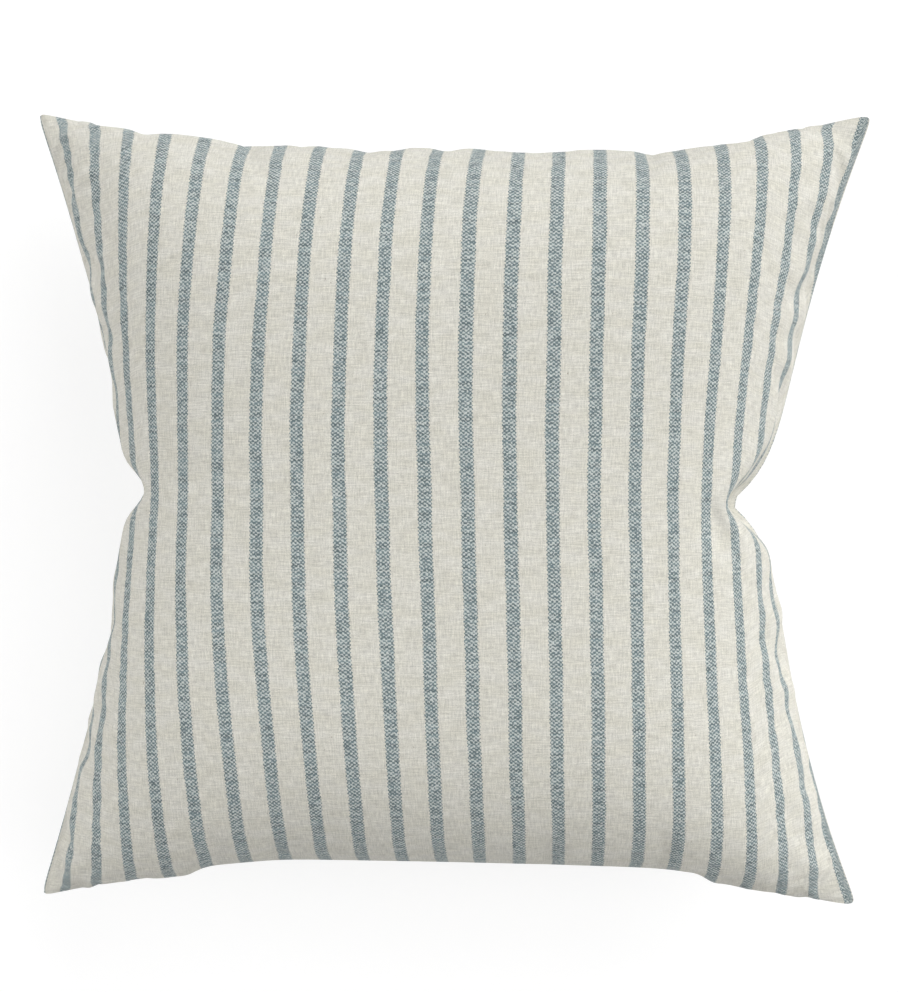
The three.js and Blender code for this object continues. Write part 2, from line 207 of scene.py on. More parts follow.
class Graph:
    """A node tree that is being wired, with short ways to add what the finishes and stitches use."""

    def __init__(self, tree: bpy.types.NodeTree) -> None:
        """Takes a tree and empties it."""
        self.tree = tree
        tree.nodes.clear()

    def node(self, kind: str, **settings: object) -> bpy.types.Node:
        """Adds a node.

        Args:
            kind: The node's type name.
            **settings: Its properties.

        Returns:
            The new node.
        """
        made = self.tree.nodes.new(kind)
        for name, value in settings.items():
            setattr(made, name, value)
        return made

    def feed(self, socket: bpy.types.NodeSocket, value: object) -> None:
        """Links an output to a socket, or sets the socket to a plain value.

        Args:
            socket: The input socket.
            value: Another node's output, or the plain value.
        """
        if isinstance(value, bpy.types.NodeSocket):
            self.tree.links.new(value, socket)
        else:
            socket.default_value = value

    def wire(
        self, kind: str, inputs: dict, output: int | str = 0, **settings: object
    ) -> bpy.types.NodeSocket:
        """Adds a node, feeds its inputs and gives back one output.

        Args:
            kind: The node's type name.
            inputs: Values or outputs by the input's name or number.
            output: The output that is wanted.
            **settings: The node's properties.

        Returns:
            That output.
        """
        made = self.node(kind, **settings)
        for name, value in inputs.items():
            self.feed(made.inputs[name], value)
        return made.outputs[output]

    def math(self, operation: str, *values: object) -> bpy.types.NodeSocket:
        """Adds a Math node.

        Args:
            operation: What it does.
            *values: Its operands.

        Returns:
            Its output.
        """
        return self.wire("ShaderNodeMath", dict(enumerate(values)), operation=operation)

    def ramp(
        self, value: object, low: float, high: float, out_low: float = 0.0, out_high: float = 1.0
    ) -> bpy.types.NodeSocket:
        """Eases a value from one range to another.

        Args:
            value: The value.
            low: The start of its range.
            high: The end of its range.
            out_low: What low becomes.
            out_high: What high becomes.

        Returns:
            The eased value.
        """
        inputs = {0: value, 1: low, 2: high, 3: out_low, 4: out_high}
        return self.wire("ShaderNodeMapRange", inputs, interpolation_type="SMOOTHSTEP")

    def mix(self, share: object, first: object, second: object) -> bpy.types.NodeSocket:
        """Mixes two colours.

        Args:
            share: How much of the second there is.
            first: The first colour.
            second: The second colour.

        Returns:
            The mixed colour.
        """
        return self.wire("ShaderNodeMix", {0: share, 6: first, 7: second}, 2, data_type="RGBA")

    def shade(self, colour: object, tone: object) -> bpy.types.NodeSocket:
        """Multiplies a colour by a tone.

        Args:
            colour: The colour.
            tone: 1 leaves it as it is.

        Returns:
            The lighter or darker colour.
        """
        grey = self.wire("ShaderNodeCombineColor", {0: tone, 1: tone, 2: tone})
        inputs = {0: 1.0, 6: colour, 7: grey}
        return self.wire("ShaderNodeMix", inputs, 2, data_type="RGBA", blend_type="MULTIPLY")

    def noise(self, place: object, scale: float, detail: float = 2.0) -> bpy.types.NodeSocket:
        """Adds a noise over a place.

        Args:
            place: Where it is read.
            scale: How many features there are in a metre.
            detail: How many octaves it has.

        Returns:
            The noise, about 0.5 on average.
        """
        return self.wire("ShaderNodeTexNoise", {"Vector": place, "Scale": scale, "Detail": detail})

    def drift(
        self, place: object, scale: float, amount: float, detail: float = 2.0
    ) -> bpy.types.NodeSocket:
        """Adds a noise that swings about zero.

        Args:
            place: Where it is read.
            scale: How many features there are in a metre.
            amount: How far it swings from its lowest to its highest.
            detail: How many octaves it has.

        Returns:
            The noise, 0 on average.
        """
        centred = self.math("SUBTRACT", self.noise(place, scale, detail), 0.5)
        return self.math("MULTIPLY", centred, amount)

    def stretched(self, place: object, x: float, y: float) -> bpy.types.NodeSocket:
        """Scales a place on the flat cloth.

        Args:
            place: The place.
            x: The scale across the stripes.
            y: The scale along the stripes.

        Returns:
            The scaled place.
        """
        inputs = {0: place, 1: (x, y, 1.0)}
        return self.wire("ShaderNodeVectorMath", inputs, operation="MULTIPLY")


# ---- Finishes ----------------------------------------------------------------------------------------


def new_group(
    name: str, inputs: dict[str, float | None], outputs: tuple[str, ...]
) -> tuple[Graph, bpy.types.Node, bpy.types.Node]:
    """Starts a shader node group.

    Args:
        name: The group's name.
        inputs: Each input's name and value, or None for a vector.
        outputs: The names of its outputs.

    Returns:
        The graph, its input node and its output node.
    """
    tree = bpy.data.node_groups.new(name, "ShaderNodeTree")
    for title, value in inputs.items():
        kind = "NodeSocketVector" if value is None else "NodeSocketFloat"
        socket = tree.interface.new_socket(title, in_out="INPUT", socket_type=kind)
        if value is not None:
            socket.default_value = value
    for title in outputs:
        tree.interface.new_socket(title, in_out="OUTPUT", socket_type="NodeSocketFloat")
    graph = Graph(tree)
    return graph, graph.node("NodeGroupInput"), graph.node("NodeGroupOutput")


def plain_weave_group() -> bpy.types.NodeTree:
    """Makes the weave that every cloth of the pillow shares.

    Returns:
        A group that turns a place on the flat cloth into the height of the threads, their tone with the
        slubs of uneven yarn, and rare dark flecks.
    """
    name = "Plain weave"
    if name in bpy.data.node_groups:
        return bpy.data.node_groups[name]
    inputs = {"Place": None, "Thread Spacing": 0.0007, "Slub": 0.08, "Fleck": 0.0}
    graph, given, result = new_group(name, inputs, ("Height", "Tone", "Fleck"))
    place, spacing = given.outputs["Place"], given.outputs["Thread Spacing"]
    apart = graph.wire("ShaderNodeSeparateXYZ", {0: place}, 0)
    across, along = apart, apart.node.outputs[1]
    threads = [graph.math("DIVIDE", side, spacing) for side in (across, along)]
    turns = [graph.math("MULTIPLY", thread, math.pi) for thread in threads]
    warp, weft = (graph.math("ABSOLUTE", graph.math("SINE", turn)) for turn in turns)
    over = graph.math("MULTIPLY", *(graph.math("COSINE", turn) for turn in turns))
    share = graph.ramp(over, -0.4, 0.4)
    warp_part = graph.math("MULTIPLY", warp, share)
    weft_part = graph.math("MULTIPLY", weft, graph.math("SUBTRACT", 1.0, share))
    graph.feed(result.inputs["Height"], graph.math("ADD", warp_part, weft_part))
    # Uneven yarn: long thin streaks along each thread direction, and a fine grain.
    streaks = [
        graph.noise(graph.stretched(place, *scale), 1.0, 3.0)
        for scale in ((110.0, 1250.0), (1250.0, 140.0), (1400.0, 1400.0))
    ]
    total = graph.math("ADD", graph.math("ADD", streaks[0], streaks[1]), streaks[2])
    swing = graph.math("MULTIPLY", graph.math("SUBTRACT", total, 1.5), given.outputs["Slub"])
    graph.feed(result.inputs["Tone"], graph.math("ADD", 1.0, swing))
    fleck = graph.ramp(graph.noise(graph.stretched(place, 620.0, 330.0), 1.0, 1.0), 0.76, 0.82)
    graph.feed(result.inputs["Fleck"], graph.math("MULTIPLY", fleck, given.outputs["Fleck"]))
    return graph.tree


def start_material(name: str, **sockets: object) -> tuple[bpy.types.Material, Graph, bpy.types.Node]:
    """Starts a material with a Principled shader.

    Args:
        name: The material's name.
        **sockets: The shader's plain values, by input name with _ for spaces.

    Returns:
        The material, its graph and the shader node.
    """
    material = bpy.data.materials.new(name)
    material.use_nodes = True
    graph = Graph(material.node_tree)
    shader = graph.node("ShaderNodeBsdfPrincipled")
    out = graph.node("ShaderNodeOutputMaterial")
    graph.feed(out.inputs["Surface"], shader.outputs[0])
    for title, value in sockets.items():
        shader.inputs[title.replace("_", " ")].default_value = value
    return material, graph, shader


def bump(
    graph: Graph, shader: bpy.types.Node, height: object, distance: float, strength: float = 1.0
) -> None:
    """Gives a shader its fine relief.

    Args:
        graph: The material's graph.
        shader: Its shader.
        height: The height, from 0 to about 1.
        distance: How far a height of 1 stands out.
        strength: How strongly it shows.
    """
    inputs = {"Strength": strength, "Distance": distance, "Height": height}
    graph.feed(shader.inputs["Normal"], graph.wire("ShaderNodeBump", inputs))


def weave(graph: Graph, place: object, spacing: float, slub: float, fleck: float = 0.0) -> bpy.types.Node:
    """Places the shared weave in a material.

    Args:
        graph: The material's graph.
        place: Where the weave is read.
        spacing: From thread to thread.
        slub: How uneven the yarn is.
        fleck: How dark the flecks are.

    Returns:
        The group node.
    """
    node = graph.node("ShaderNodeGroup", node_tree=plain_weave_group())
    graph.feed(node.inputs["Place"], place)
    for title, value in (("Thread Spacing", spacing), ("Slub", slub), ("Fleck", fleck)):
        node.inputs[title].default_value = value
    return node


@dataclass(frozen=True)
class StripedLinen:
    """The cover's linen: a fine pale ground, and stripes of thick slate-blue yarn in a basket lattice."""

    repeat: float = 0.0254
    stripe_width: float = 0.0080
    first_stripe: float = 0.0218  # centre of the first stripe to the right of the panel's middle
    column: float = 0.00150  # from dot to dot across a stripe
    row: float = 0.00118  # from dot to dot along a stripe
    ground: tuple[float, float, float, float] = (0.600, 0.585, 0.515, 1.0)
    dark_yarn: tuple[float, float, float, float] = (0.130, 0.178, 0.188, 1.0)
    pale_yarn: tuple[float, float, float, float] = (0.57, 0.605, 0.585, 1.0)
    bleached: tuple[float, float, float, float] = (0.628, 0.616, 0.562, 1.0)  # the paler ground yarn
    flecks: tuple[float, float, float, float] = (0.20, 0.16, 0.10, 1.0)
    wander: float = 0.0026  # how far a stripe strays from a straight line
    flutter: float = 0.0007  # how far its edge shakes from thread to thread
    jostle: float = 0.0020  # how far its dots stray along it
    sway: float = 0.0014  # how far they stray across it
    thread_spacing: float = 0.0007
    slub: float = 0.62
    fleck: float = 0.6

    def material(self) -> bpy.types.Material:
        """Builds the finish.

        Returns:
            The material, which reads the place on the flat cloth.
        """
        plain = {"Roughness": 0.92, "Sheen_Weight": 0.12, "Sheen_Roughness": 0.6}
        material, graph, shader = start_material("striped_linen", **plain)
        shader.inputs["Specular IOR Level"].default_value = 0.2
        flat = graph.wire("ShaderNodeUVMap", {}, uv_map=FLAT_MAP)
        across = graph.wire("ShaderNodeSeparateXYZ", {0: flat}, 0)
        along = across.node.outputs[1]
        # The yarns wander a little, so no stripe is ruler straight.
        slow = graph.drift(flat, 16.0, self.wander)
        quick = graph.drift(flat, 260.0, self.flutter, 1.0)
        wandered = graph.math("ADD", across, graph.math("ADD", slow, quick))
        from_first = graph.math("SUBTRACT", wandered, self.first_stripe)
        off_centre = graph.math("WRAP", from_first, self.repeat / 2, -self.repeat / 2)
        # Thick soft yarn packs unevenly, so its dots sit off the lattice and run together here and there.
        jostle = graph.drift(graph.stretched(flat, 420.0, 700.0), 1.0, self.jostle)
        sway = graph.drift(graph.stretched(flat, 900.0, 300.0), 1.0, self.sway)
        rows = graph.math("ADD", along, jostle)
        columns = graph.math("ADD", off_centre, sway)
        row = graph.math("COSINE", graph.math("MULTIPLY", rows, math.pi / self.row))
        column = graph.math("COSINE", graph.math("MULTIPLY", columns, math.pi / self.column))
        lattice = graph.math("MULTIPLY", row, column)
        tooth = graph.math("MULTIPLY", row, self.column * 0.28)
        edge = graph.math("ADD", self.stripe_width / 2, tooth)
        inside = graph.math("SUBTRACT", edge, graph.math("ABSOLUTE", off_centre))
        in_stripe = graph.ramp(inside, -0.00022, 0.00022)
        fuzz = graph.drift(flat, 900.0, 2.4)
        picks = graph.drift(graph.stretched(flat, 150.0, 620.0), 1.0, 2.6)
        uneven = graph.math("ADD", fuzz, picks)
        dot = graph.ramp(graph.math("ADD", lattice, uneven), -0.45, 0.75)
        bands = graph.noise(graph.stretched(flat, 40.0, 330.0), 1.0, 3.0)
        dark = graph.shade(self.dark_yarn, graph.ramp(bands, 0.25, 0.75, 0.72, 1.38))
        stripe = graph.mix(graph.math("MULTIPLY", dot, 0.90), dark, self.pale_yarn)
        cloth = weave(graph, flat, self.thread_spacing, self.slub, self.fleck)
        patches = graph.ramp(graph.noise(graph.stretched(flat, 45.0, 120.0), 1.0, 3.0), 0.30, 0.72)
        yarn = graph.mix(patches, self.ground, self.bleached)
        ground = graph.mix(cloth.outputs["Fleck"], graph.shade(yarn, cloth.outputs["Tone"]), self.flecks)
        graph.feed(shader.inputs["Base Color"], graph.mix(in_stripe, ground, stripe))
        fine = graph.math("MULTIPLY", cloth.outputs["Height"], 0.35)
        coarse = graph.math("MULTIPLY", graph.math("MULTIPLY", lattice, in_stripe), 0.5)
        relief = graph.math("ADD", graph.math("ADD", fine, coarse), graph.math("MULTIPLY", bands, 0.4))
        bump(graph, shader, relief, 0.00035, 0.8)
        return material


@dataclass(frozen=True)
class WovenCloth:
    """A plain woven cloth of one colour, such as ticking, tape or satin."""

    name: str
    colour: tuple[float, float, float, float]
    spacing: float
    roughness: float = 0.9
    slub: float = 0.08
    relief: float = 0.00015
    sheen: float = 0.1
    by_map: bool = False  # whether it follows the piece's own map of the flat cloth
    upright: bool = False  # whether the cloth stands in the plane of X and Z

    def material(self) -> bpy.types.Material:
        """Builds the finish.

        Returns:
            The material.
        """
        plain = {"Roughness": self.roughness, "Sheen_Weight": self.sheen}
        material, graph, shader = start_material(self.name, **plain)
        if self.by_map:
            place = graph.wire("ShaderNodeUVMap", {}, uv_map=FLAT_MAP)
        else:
            place = graph.wire("ShaderNodeTexCoord", {}, "Object")
        if self.upright:
            laid_down = (-math.pi / 2, 0.0, 0.0)
            place = graph.wire("ShaderNodeMapping", {"Vector": place, "Rotation": laid_down})
        cloth = weave(graph, place, self.spacing, self.slub)
        graph.feed(shader.inputs["Base Color"], graph.shade(self.colour, cloth.outputs["Tone"]))
        bump(graph, shader, cloth.outputs["Height"], self.relief)
        return material


def satin(name: str) -> bpy.types.Material:
    """The fine white cloth of the labels."""
    return WovenCloth(name, (0.80, 0.80, 0.79, 1.0), 0.0003, 0.45, upright=True).material()


@dataclass(frozen=True)
class SpunThread:
    """Sewing thread: fine plies that twist along it."""

    name: str = "sewing_thread"
    colour: tuple[float, float, float, float] = (0.60, 0.58, 0.50, 1.0)
    ply: float = 0.0004

    def material(self) -> bpy.types.Material:
        """Builds the finish.

        Returns:
            The material.
        """
        material, graph, shader = start_material(self.name, Roughness=0.7, Sheen_Weight=0.15)
        place = graph.wire("ShaderNodeTexCoord", {}, "Object")
        twist = graph.wire(
            "ShaderNodeTexWave",
            {"Vector": place, "Scale": 0.05 / self.ply, "Distortion": 1.5},
            1,
            wave_type="BANDS",
            bands_direction="DIAGONAL",
        )
        # Painted shade: the thread is darker in the grooves between its twisted plies, where the bump
        # sinks.
        tone = graph.ramp(twist, 0.0, 1.0, 0.85, 1.08)
        graph.feed(shader.inputs["Base Color"], graph.shade(self.colour, tone))
        bump(graph, shader, twist, 0.00008)
        return material


@dataclass(frozen=True)
class Feathers:
    """Packed feathers and down: soft overlapping tufts with fine barbs."""

    name: str = "feathers"
    colour: tuple[float, float, float, float] = (0.80, 0.77, 0.70, 1.0)

    def material(self) -> bpy.types.Material:
        """Builds the finish.

        Returns:
            The material.
        """
        material, graph, shader = start_material(self.name, Roughness=1.0, Sheen_Weight=0.4)
        place = graph.wire("ShaderNodeTexCoord", {}, "Object")
        bent = graph.wire("ShaderNodeTexNoise", {"Vector": place, "Scale": 35.0, "Detail": 2.0}, 1)
        moved = graph.wire("ShaderNodeVectorMath", {0: bent, 1: (0.05, 0.05, 0.05)}, operation="MULTIPLY")
        wavy = graph.wire("ShaderNodeVectorMath", {0: place, 1: moved}, operation="ADD")
        tufts = graph.wire("ShaderNodeTexVoronoi", {"Vector": wavy, "Scale": 55.0}, 0)
        barbs = graph.noise(graph.stretched(wavy, 220.0, 1400.0), 1.0, 3.0)
        # Painted shade: each tuft gets darker towards its edges, where the bump sinks between tufts, and
        # the barbs get lighter where they stand up.
        between = graph.ramp(tufts, 0.0, 0.8, 1.05, 0.78)
        tone = graph.math("MULTIPLY", between, graph.ramp(barbs, 0.2, 0.8, 0.9, 1.06))
        graph.feed(shader.inputs["Base Color"], graph.shade(self.colour, tone))
        bump(graph, shader, graph.math("SUBTRACT", graph.math("MULTIPLY", barbs, 0.4), tufts), 0.002)
        return material


@dataclass(frozen=True)
class Nylon:
    """The moulded nylon of the zip's coils."""

    name: str = "nylon"
    colour: tuple[float, float, float, float] = (0.62, 0.60, 0.53, 1.0)

    def material(self) -> bpy.types.Material:
        """Builds the finish.

        Returns:
            The material.
        """
        material, graph, shader = start_material(self.name, IOR=1.53)
        place = graph.wire("ShaderNodeTexCoord", {}, "Object")
        haze = graph.noise(place, 900.0, 2.0)
        tone = graph.ramp(haze, 0.2, 0.8, 0.93, 1.05)
        graph.feed(shader.inputs["Base Color"], graph.shade(self.colour, tone))
        graph.feed(shader.inputs["Roughness"], graph.ramp(haze, 0.2, 0.8, 0.32, 0.5))
        return material


@dataclass(frozen=True)
class ZipMetal:
    """Antiqued pale metal: brushed along its length, and rubbed brighter in patches."""

    name: str = "zip_metal"
    colour: tuple[float, float, float, float] = (0.50, 0.48, 0.43, 1.0)

    def material(self) -> bpy.types.Material:
        """Builds the finish.

        Returns:
            The material.
        """
        material, graph, shader = start_material(self.name, Metallic=1.0)
        place = graph.wire("ShaderNodeTexCoord", {}, "Object")
        brushed = graph.noise(graph.stretched(place, 300.0, 6000.0), 1.0, 3.0)
        patches = graph.noise(place, 420.0, 2.0)
        tone = graph.ramp(patches, 0.3, 0.7, 0.82, 1.15)
        graph.feed(shader.inputs["Base Color"], graph.shade(self.colour, tone))
        graph.feed(shader.inputs["Roughness"], graph.ramp(brushed, 0.2, 0.8, 0.26, 0.46))
        bump(graph, shader, brushed, 0.00002)
        return material


# ---- The pillow's form -------------------------------------------------------------------------------


def wall_profile(
    share: np.ndarray, turn: np.ndarray, fullness: np.ndarray
) -> tuple[np.ndarray, np.ndarray]:
    """Follows the cloth from the middle of a face to its seam, as it turns ever more steeply down.

    Args:
        share: Places along the way, from 0 in the middle to 1 at the seam.
        turn: For each line of cloth, the angle at the seam, in quarter turns. Past 1 it tucks under.
        fullness: For each line, how late the turning comes.

    Returns:
        For each line and place, how far out the cloth has come as a share of its furthest reach, and
        what share of its height is left.
    """
    steps = np.linspace(0.0, 1.0, 241)
    angle = turn[:, None] * (math.pi / 2) * steps[None, :] ** fullness[:, None]

    def walked(slope: np.ndarray) -> np.ndarray:
        """Adds up a slope from the middle outwards."""
        middles = (slope[:, 1:] + slope[:, :-1]) / 2
        return np.pad(np.cumsum(middles, axis=1), ((0, 0), (1, 0)))

    out, down = walked(np.cos(angle)), walked(np.sin(angle))
    out /= out.max(axis=1)[:, None]
    down /= down[:, -1][:, None]
    reach = np.array([np.interp(share, steps, line) for line in out])
    drop = np.array([np.interp(share, steps, line) for line in down])
    return reach, 1.0 - drop


@dataclass(frozen=True)
class SideWall:
    """How the cover goes over one of its pulled-in sides, left or right."""

    reach: float  # half width at the pinch
    flare_above: float  # how much wider it gets towards the upper corner
    flare_below: float
    power_above: float
    power_below: float
    pinch_at: float  # share of the half height at which the side is narrowest
    notch: float  # depth of the sharp crease at the pinch
    notch_height: float  # how quickly the crease fades along the side
    notch_rounding: float  # how softly the cloth goes over into the crease, as a share of its depth
    lip: float  # how far the seam stands out from the foot of the wall at the crease
    lip_above: float  # how far it stands out further up
    turn_middle: float  # the cloth's angle at the seam at mid height, in quarter turns
    turn_corner: float
    turn_spread: float  # how suddenly the angle changes towards the corners
    fullness_middle: float  # how late the cloth turns down, at mid height
    fullness_corner: float
    lip_reach_above: float = 0.16  # how far the lip runs on above the crease, in the same shares
    lip_reach_below: float = 0.07

    def outline(self, b: np.ndarray) -> np.ndarray:
        """Works out the half width without the crease.

        Args:
            b: Shares of the half height, from -1 at the lower corner.

        Returns:
            The half width at each share.
        """
        off = b - self.pinch_at
        above = self.flare_above * np.abs(off) ** self.power_above
        below = self.flare_below * np.abs(off) ** self.power_below
        return self.reach + np.where(off > 0, above, below)

    def lip_width(self, b: np.ndarray) -> np.ndarray:
        """Works out how far the seam stands out as a lip.

        Args:
            b: Shares of the half height, from -1 at the lower corner.

        Returns:
            The lip's width at each share.
        """
        off = b - self.pinch_at
        reach = np.where(off > 0, self.lip_reach_above, self.lip_reach_below)
        at_crease = np.exp(-((off / reach) ** 2))
        above = smoothstep(0.0, 0.25, off) * smoothstep(0.98, 0.75, b)
        return self.lip * at_crease + self.lip_above * above * (1.0 - at_crease)

    def turn(self, b: np.ndarray) -> np.ndarray:
        """The cloth's angle at the seam, in quarter turns, for each share b of the half height."""
        swell = 1.0 - np.abs(b) ** self.turn_spread
        return self.turn_corner + (self.turn_middle - self.turn_corner) * swell

    def fullness(self, b: np.ndarray) -> np.ndarray:
        """How late the turning comes, for each share b of the half height."""
        return self.fullness_middle + (self.fullness_corner - self.fullness_middle) * b**2


@dataclass(frozen=True)
class EndWall:
    """How the cover goes over its upper or lower end, which is straight between two ears."""

    reach: float  # half height at the middle
    slope: float  # how much further out its right end is than its middle
    left_ear: float  # how far the left ear rises past the straight stretch
    left_start: float  # where it starts, from the middle
    right_ear: float
    right_start: float
    rounding: float  # how softly the ears leave the straight stretch

    def outline(self, a: np.ndarray, half_width: float) -> np.ndarray:
        """Half height of the end.

        Args:
            a: Shares of the half width, from -1 at the left.
            half_width: Half the width between the corners.

        Returns:
            The half height at each share.
        """
        x = a * half_width

        def ear(rise: float, start: float, out: np.ndarray) -> np.ndarray:
            """How far one ear stands past the straight stretch."""
            return rise * softplus(out - start, self.rounding) / (half_width - start)

        left = ear(self.left_ear, self.left_start, -x)
        right = ear(self.right_ear, self.right_start, x)
        return self.reach + self.slope * a + left + right


@dataclass(frozen=True)
class Fold:
    """A shallow dent that a crease of the cloth makes in the front face."""

    x: float
    y: float
    heading: float  # the way it runs, in degrees from +X
    length: float
    width: float
    depth: float

    def dent(self, x: np.ndarray, y: np.ndarray) -> np.ndarray:
        """Works out how deep the dent is.

        Args:
            x: The places across the pillow.
            y: The places along it.

        Returns:
            The depth at each place.
        """
        turn = math.radians(self.heading)
        along = (x - self.x) * math.cos(turn) + (y - self.y) * math.sin(turn)
        aside = (y - self.y) * math.cos(turn) - (x - self.x) * math.sin(turn)
        return self.depth * np.exp(-((along / self.length) ** 2) - (aside / self.width) ** 2)


@dataclass(frozen=True)
class Pillow:
    """The stuffed pillow's outer form. a runs from -1 to 1 across the flat cloth and b along it."""

    half_cut: float = 0.281  # half the side of the square that the finished panel is, laid flat
    half_width: float = 0.260
    crown: float = 0.098
    seam_height: float = 0.088
    left: SideWall = SideWall(
        reach=0.2066, flare_above=0.0602, flare_below=0.0520, power_above=1.40, power_below=1.40,
        pinch_at=0.036, notch=0.0225, notch_height=0.0115, notch_rounding=0.12, lip=0.0, lip_above=0.0,
        turn_middle=1.259, turn_corner=0.651, turn_spread=2.39, fullness_middle=1.882,
        fullness_corner=5.622,
    )
    right: SideWall = SideWall(
        reach=0.2027, flare_above=0.0640, flare_below=0.0520, power_above=1.50, power_below=1.84,
        pinch_at=0.010, notch=0.0300, notch_height=0.0200, notch_rounding=0.13, lip=0.0085,
        lip_above=0.0034, turn_middle=0.996, turn_corner=0.167, turn_spread=6.553,
        fullness_middle=1.784, fullness_corner=4.501,
    )
    upper: EndWall = EndWall(
        reach=0.2219, slope=-0.0047, left_ear=0.0233, left_start=0.1248, right_ear=0.0315,
        right_start=0.1345, rounding=0.0029,
    )
    lower: EndWall = EndWall(
        reach=0.2212, slope=0.0102, left_ear=0.0354, left_start=0.1013, right_ear=0.0213,
        right_start=0.1248, rounding=0.0066,
    )
    end_turn_middle: float = 1.466  # the turn and fullness over the two ends, as a side wall has them
    end_turn_corner: float = 0.297
    end_fullness_middle: float = 4.068
    end_fullness_corner: float = 2.0
    lean: float = -0.0137  # how far the middle of the cloth has slid to the left
    twist: float = -0.0104  # how far it slides on towards the ends
    rest_softness: float = 0.003  # how softly the back goes over into its flat patch
    floor_gap: float = 0.0004  # from the floor to that patch
    corner_nip: float = 0.0035  # how much the corners are rounded off
    corner_spread: float = 0.006  # how far from the corner that rounding reaches
    crease_tip: float = 0.002  # the rounding at the bottom of a crease
    crease_rim: float = 0.0002  # the least rounding where the cloth goes over into it
    lip_spread: float = 0.0036  # how far from the seam the lip reaches over the cloth
    height_share: float = 0.946  # the height between the corners, as a share of the width

    def middle_line(self, b: np.ndarray) -> np.ndarray:
        """Where the middle of the flat cloth lies, across the pillow, for each b."""
        reach = np.abs(b)
        return self.lean * (1.0 - reach**3) + self.twist * b * (1.0 - reach)

    def surface(
        self,
        a: np.ndarray,
        b: np.ndarray,
        face: Face,
        inset: float = 0.0,
        end_insets: tuple[float, float] = (0.0, 0.0),
    ) -> np.ndarray:
        """Places a grid of the flat cloth on the stuffed pillow.

        Args:
            a: The grid's shares across the cloth, rising.
            b: The grid's shares along the cloth, rising.
            face: The face that it covers.
            inset: How far inside the cover's sides it lies.
            end_insets: How far inside the cover's upper and lower end it lies.

        Returns:
            The points, indexed by b, then a.
        """
        spine = self.middle_line(b)[:, None]
        x = np.zeros((len(b), len(a)))
        height = np.ones_like(x)
        for wall, sign, part in ((self.left, -1, a < 0), (self.right, 1, a >= 0)):
            run, rise = wall_profile(np.abs(a[part]), wall.turn(b), wall.fullness(b))
            reach = (wall.outline(b) - inset)[:, None] - sign * spine
            out = reach * run + sign * spine
            x[:, part] = sign * self.notched(out, np.abs(a[part]), wall, b, inset)
            height[:, part] = rise
        turn_swell = 1.0 - np.abs(a) ** 6
        turn = self.end_turn_corner + (self.end_turn_middle - self.end_turn_corner) * turn_swell
        fullness = self.end_fullness_middle + (self.end_fullness_corner - self.end_fullness_middle) * a**2
        y = np.zeros_like(x)
        ends = ((self.upper, 1, b >= 0, end_insets[0]), (self.lower, -1, b < 0, end_insets[1]))
        for wall, sign, part, end_inset in ends:
            run, rise = wall_profile(np.abs(b[part]), turn, fullness)
            y[part, :] = (sign * (wall.outline(a, self.half_width) - end_inset)[:, None] * run).T
            height[part, :] *= rise.T
        from_corner = (2.0 - np.abs(a)[None, :] - np.abs(b)[:, None]) * self.half_cut
        nip = self.corner_nip * np.exp(-from_corner / self.corner_spread)
        x -= np.sign(a)[None, :] * nip
        y -= np.sign(b)[:, None] * nip
        lift = (self.crown - inset / 3) * height
        if face is Face.BACK:
            floor = self.seam_height - inset / 3
            lift = floor - softplus(floor - self.floor_gap - lift, self.rest_softness)
        z = self.seam_height + face.value * lift
        return np.stack([x, y, z], axis=-1)

    def notched(
        self, out: np.ndarray, a: np.ndarray, wall: SideWall, b: np.ndarray, inset: float
    ) -> np.ndarray:
        """Presses the cloth in to the sharp crease at the pinch, and lets the seam stand out at its foot.

        Args:
            out: How far out each point is.
            a: The columns' shares across the cloth, from 0 in the middle.
            wall: The side that it is on.
            b: The rows' shares along the cloth.
            inset: How far inside the cover's sides the cloth lies.

        Returns:
            How far out each point is with the crease.
        """
        from_pinch = np.hypot((b - wall.pinch_at) * self.half_height(), self.crease_tip)
        crease = (wall.notch * np.exp(-from_pinch / wall.notch_height))[:, None]
        lip = wall.lip_width(b)[:, None] if inset == 0.0 else np.zeros_like(crease)
        limit = (wall.outline(b) - inset)[:, None] - crease
        rounding = self.crease_rim + wall.notch_rounding * crease
        pressed = out - softplus(out - limit + lip, rounding) + softplus(lip - limit, rounding)
        from_seam = (1.0 - a) * self.half_cut
        return pressed + lip * np.exp(-((from_seam / self.lip_spread) ** 2))[None, :]

    def half_height(self) -> float:
        """Half the height between the corners."""
        return self.half_width * self.height_share


def panel_shares(count: int, crowding: float = 0.6) -> np.ndarray:
    """Shares across a panel, closer together towards its seams.

    Args:
        count: How many spaces there are.
        crowding: How much closer they get, from 0 to 1.

    Returns:
        The shares, from -1 to 1.
    """
    even = np.linspace(-1.0, 1.0, count + 1)
    return even * (1.0 - crowding) + crowding * np.sin(even * math.pi / 2)


def write_flat_map(mesh: bpy.types.Mesh, places: np.ndarray) -> None:
    """Stores each point's place on the flat cloth as the mesh's UV map.

    Args:
        mesh: The mesh.
        places: A place for each of its points.
    """
    layer = mesh.uv_layers.new(name=FLAT_MAP)
    corners = np.zeros(len(mesh.loops), dtype=np.int32)
    mesh.loops.foreach_get("vertex_index", corners)
    layer.data.foreach_set("uv", places[corners].astype(np.float32).ravel())


def grid_faces(rows: int, columns: int, facing_up: bool) -> list[tuple[int, int, int, int]]:
    """The faces of a grid of points.

    Args:
        rows: How many rows of points there are.
        columns: How many points a row has.
        facing_up: Whether the faces look towards +Z on a flat grid.

    Returns:
        Four point numbers for each face.
    """
    faces = []
    for row in range(rows - 1):
        for column in range(columns - 1):
            start = row * columns + column
            quad = (start, start + 1, start + columns + 1, start + columns)
            faces.append(quad if facing_up else quad[::-1])
    return faces


# ---- The cover ---------------------------------------------------------------------------------------


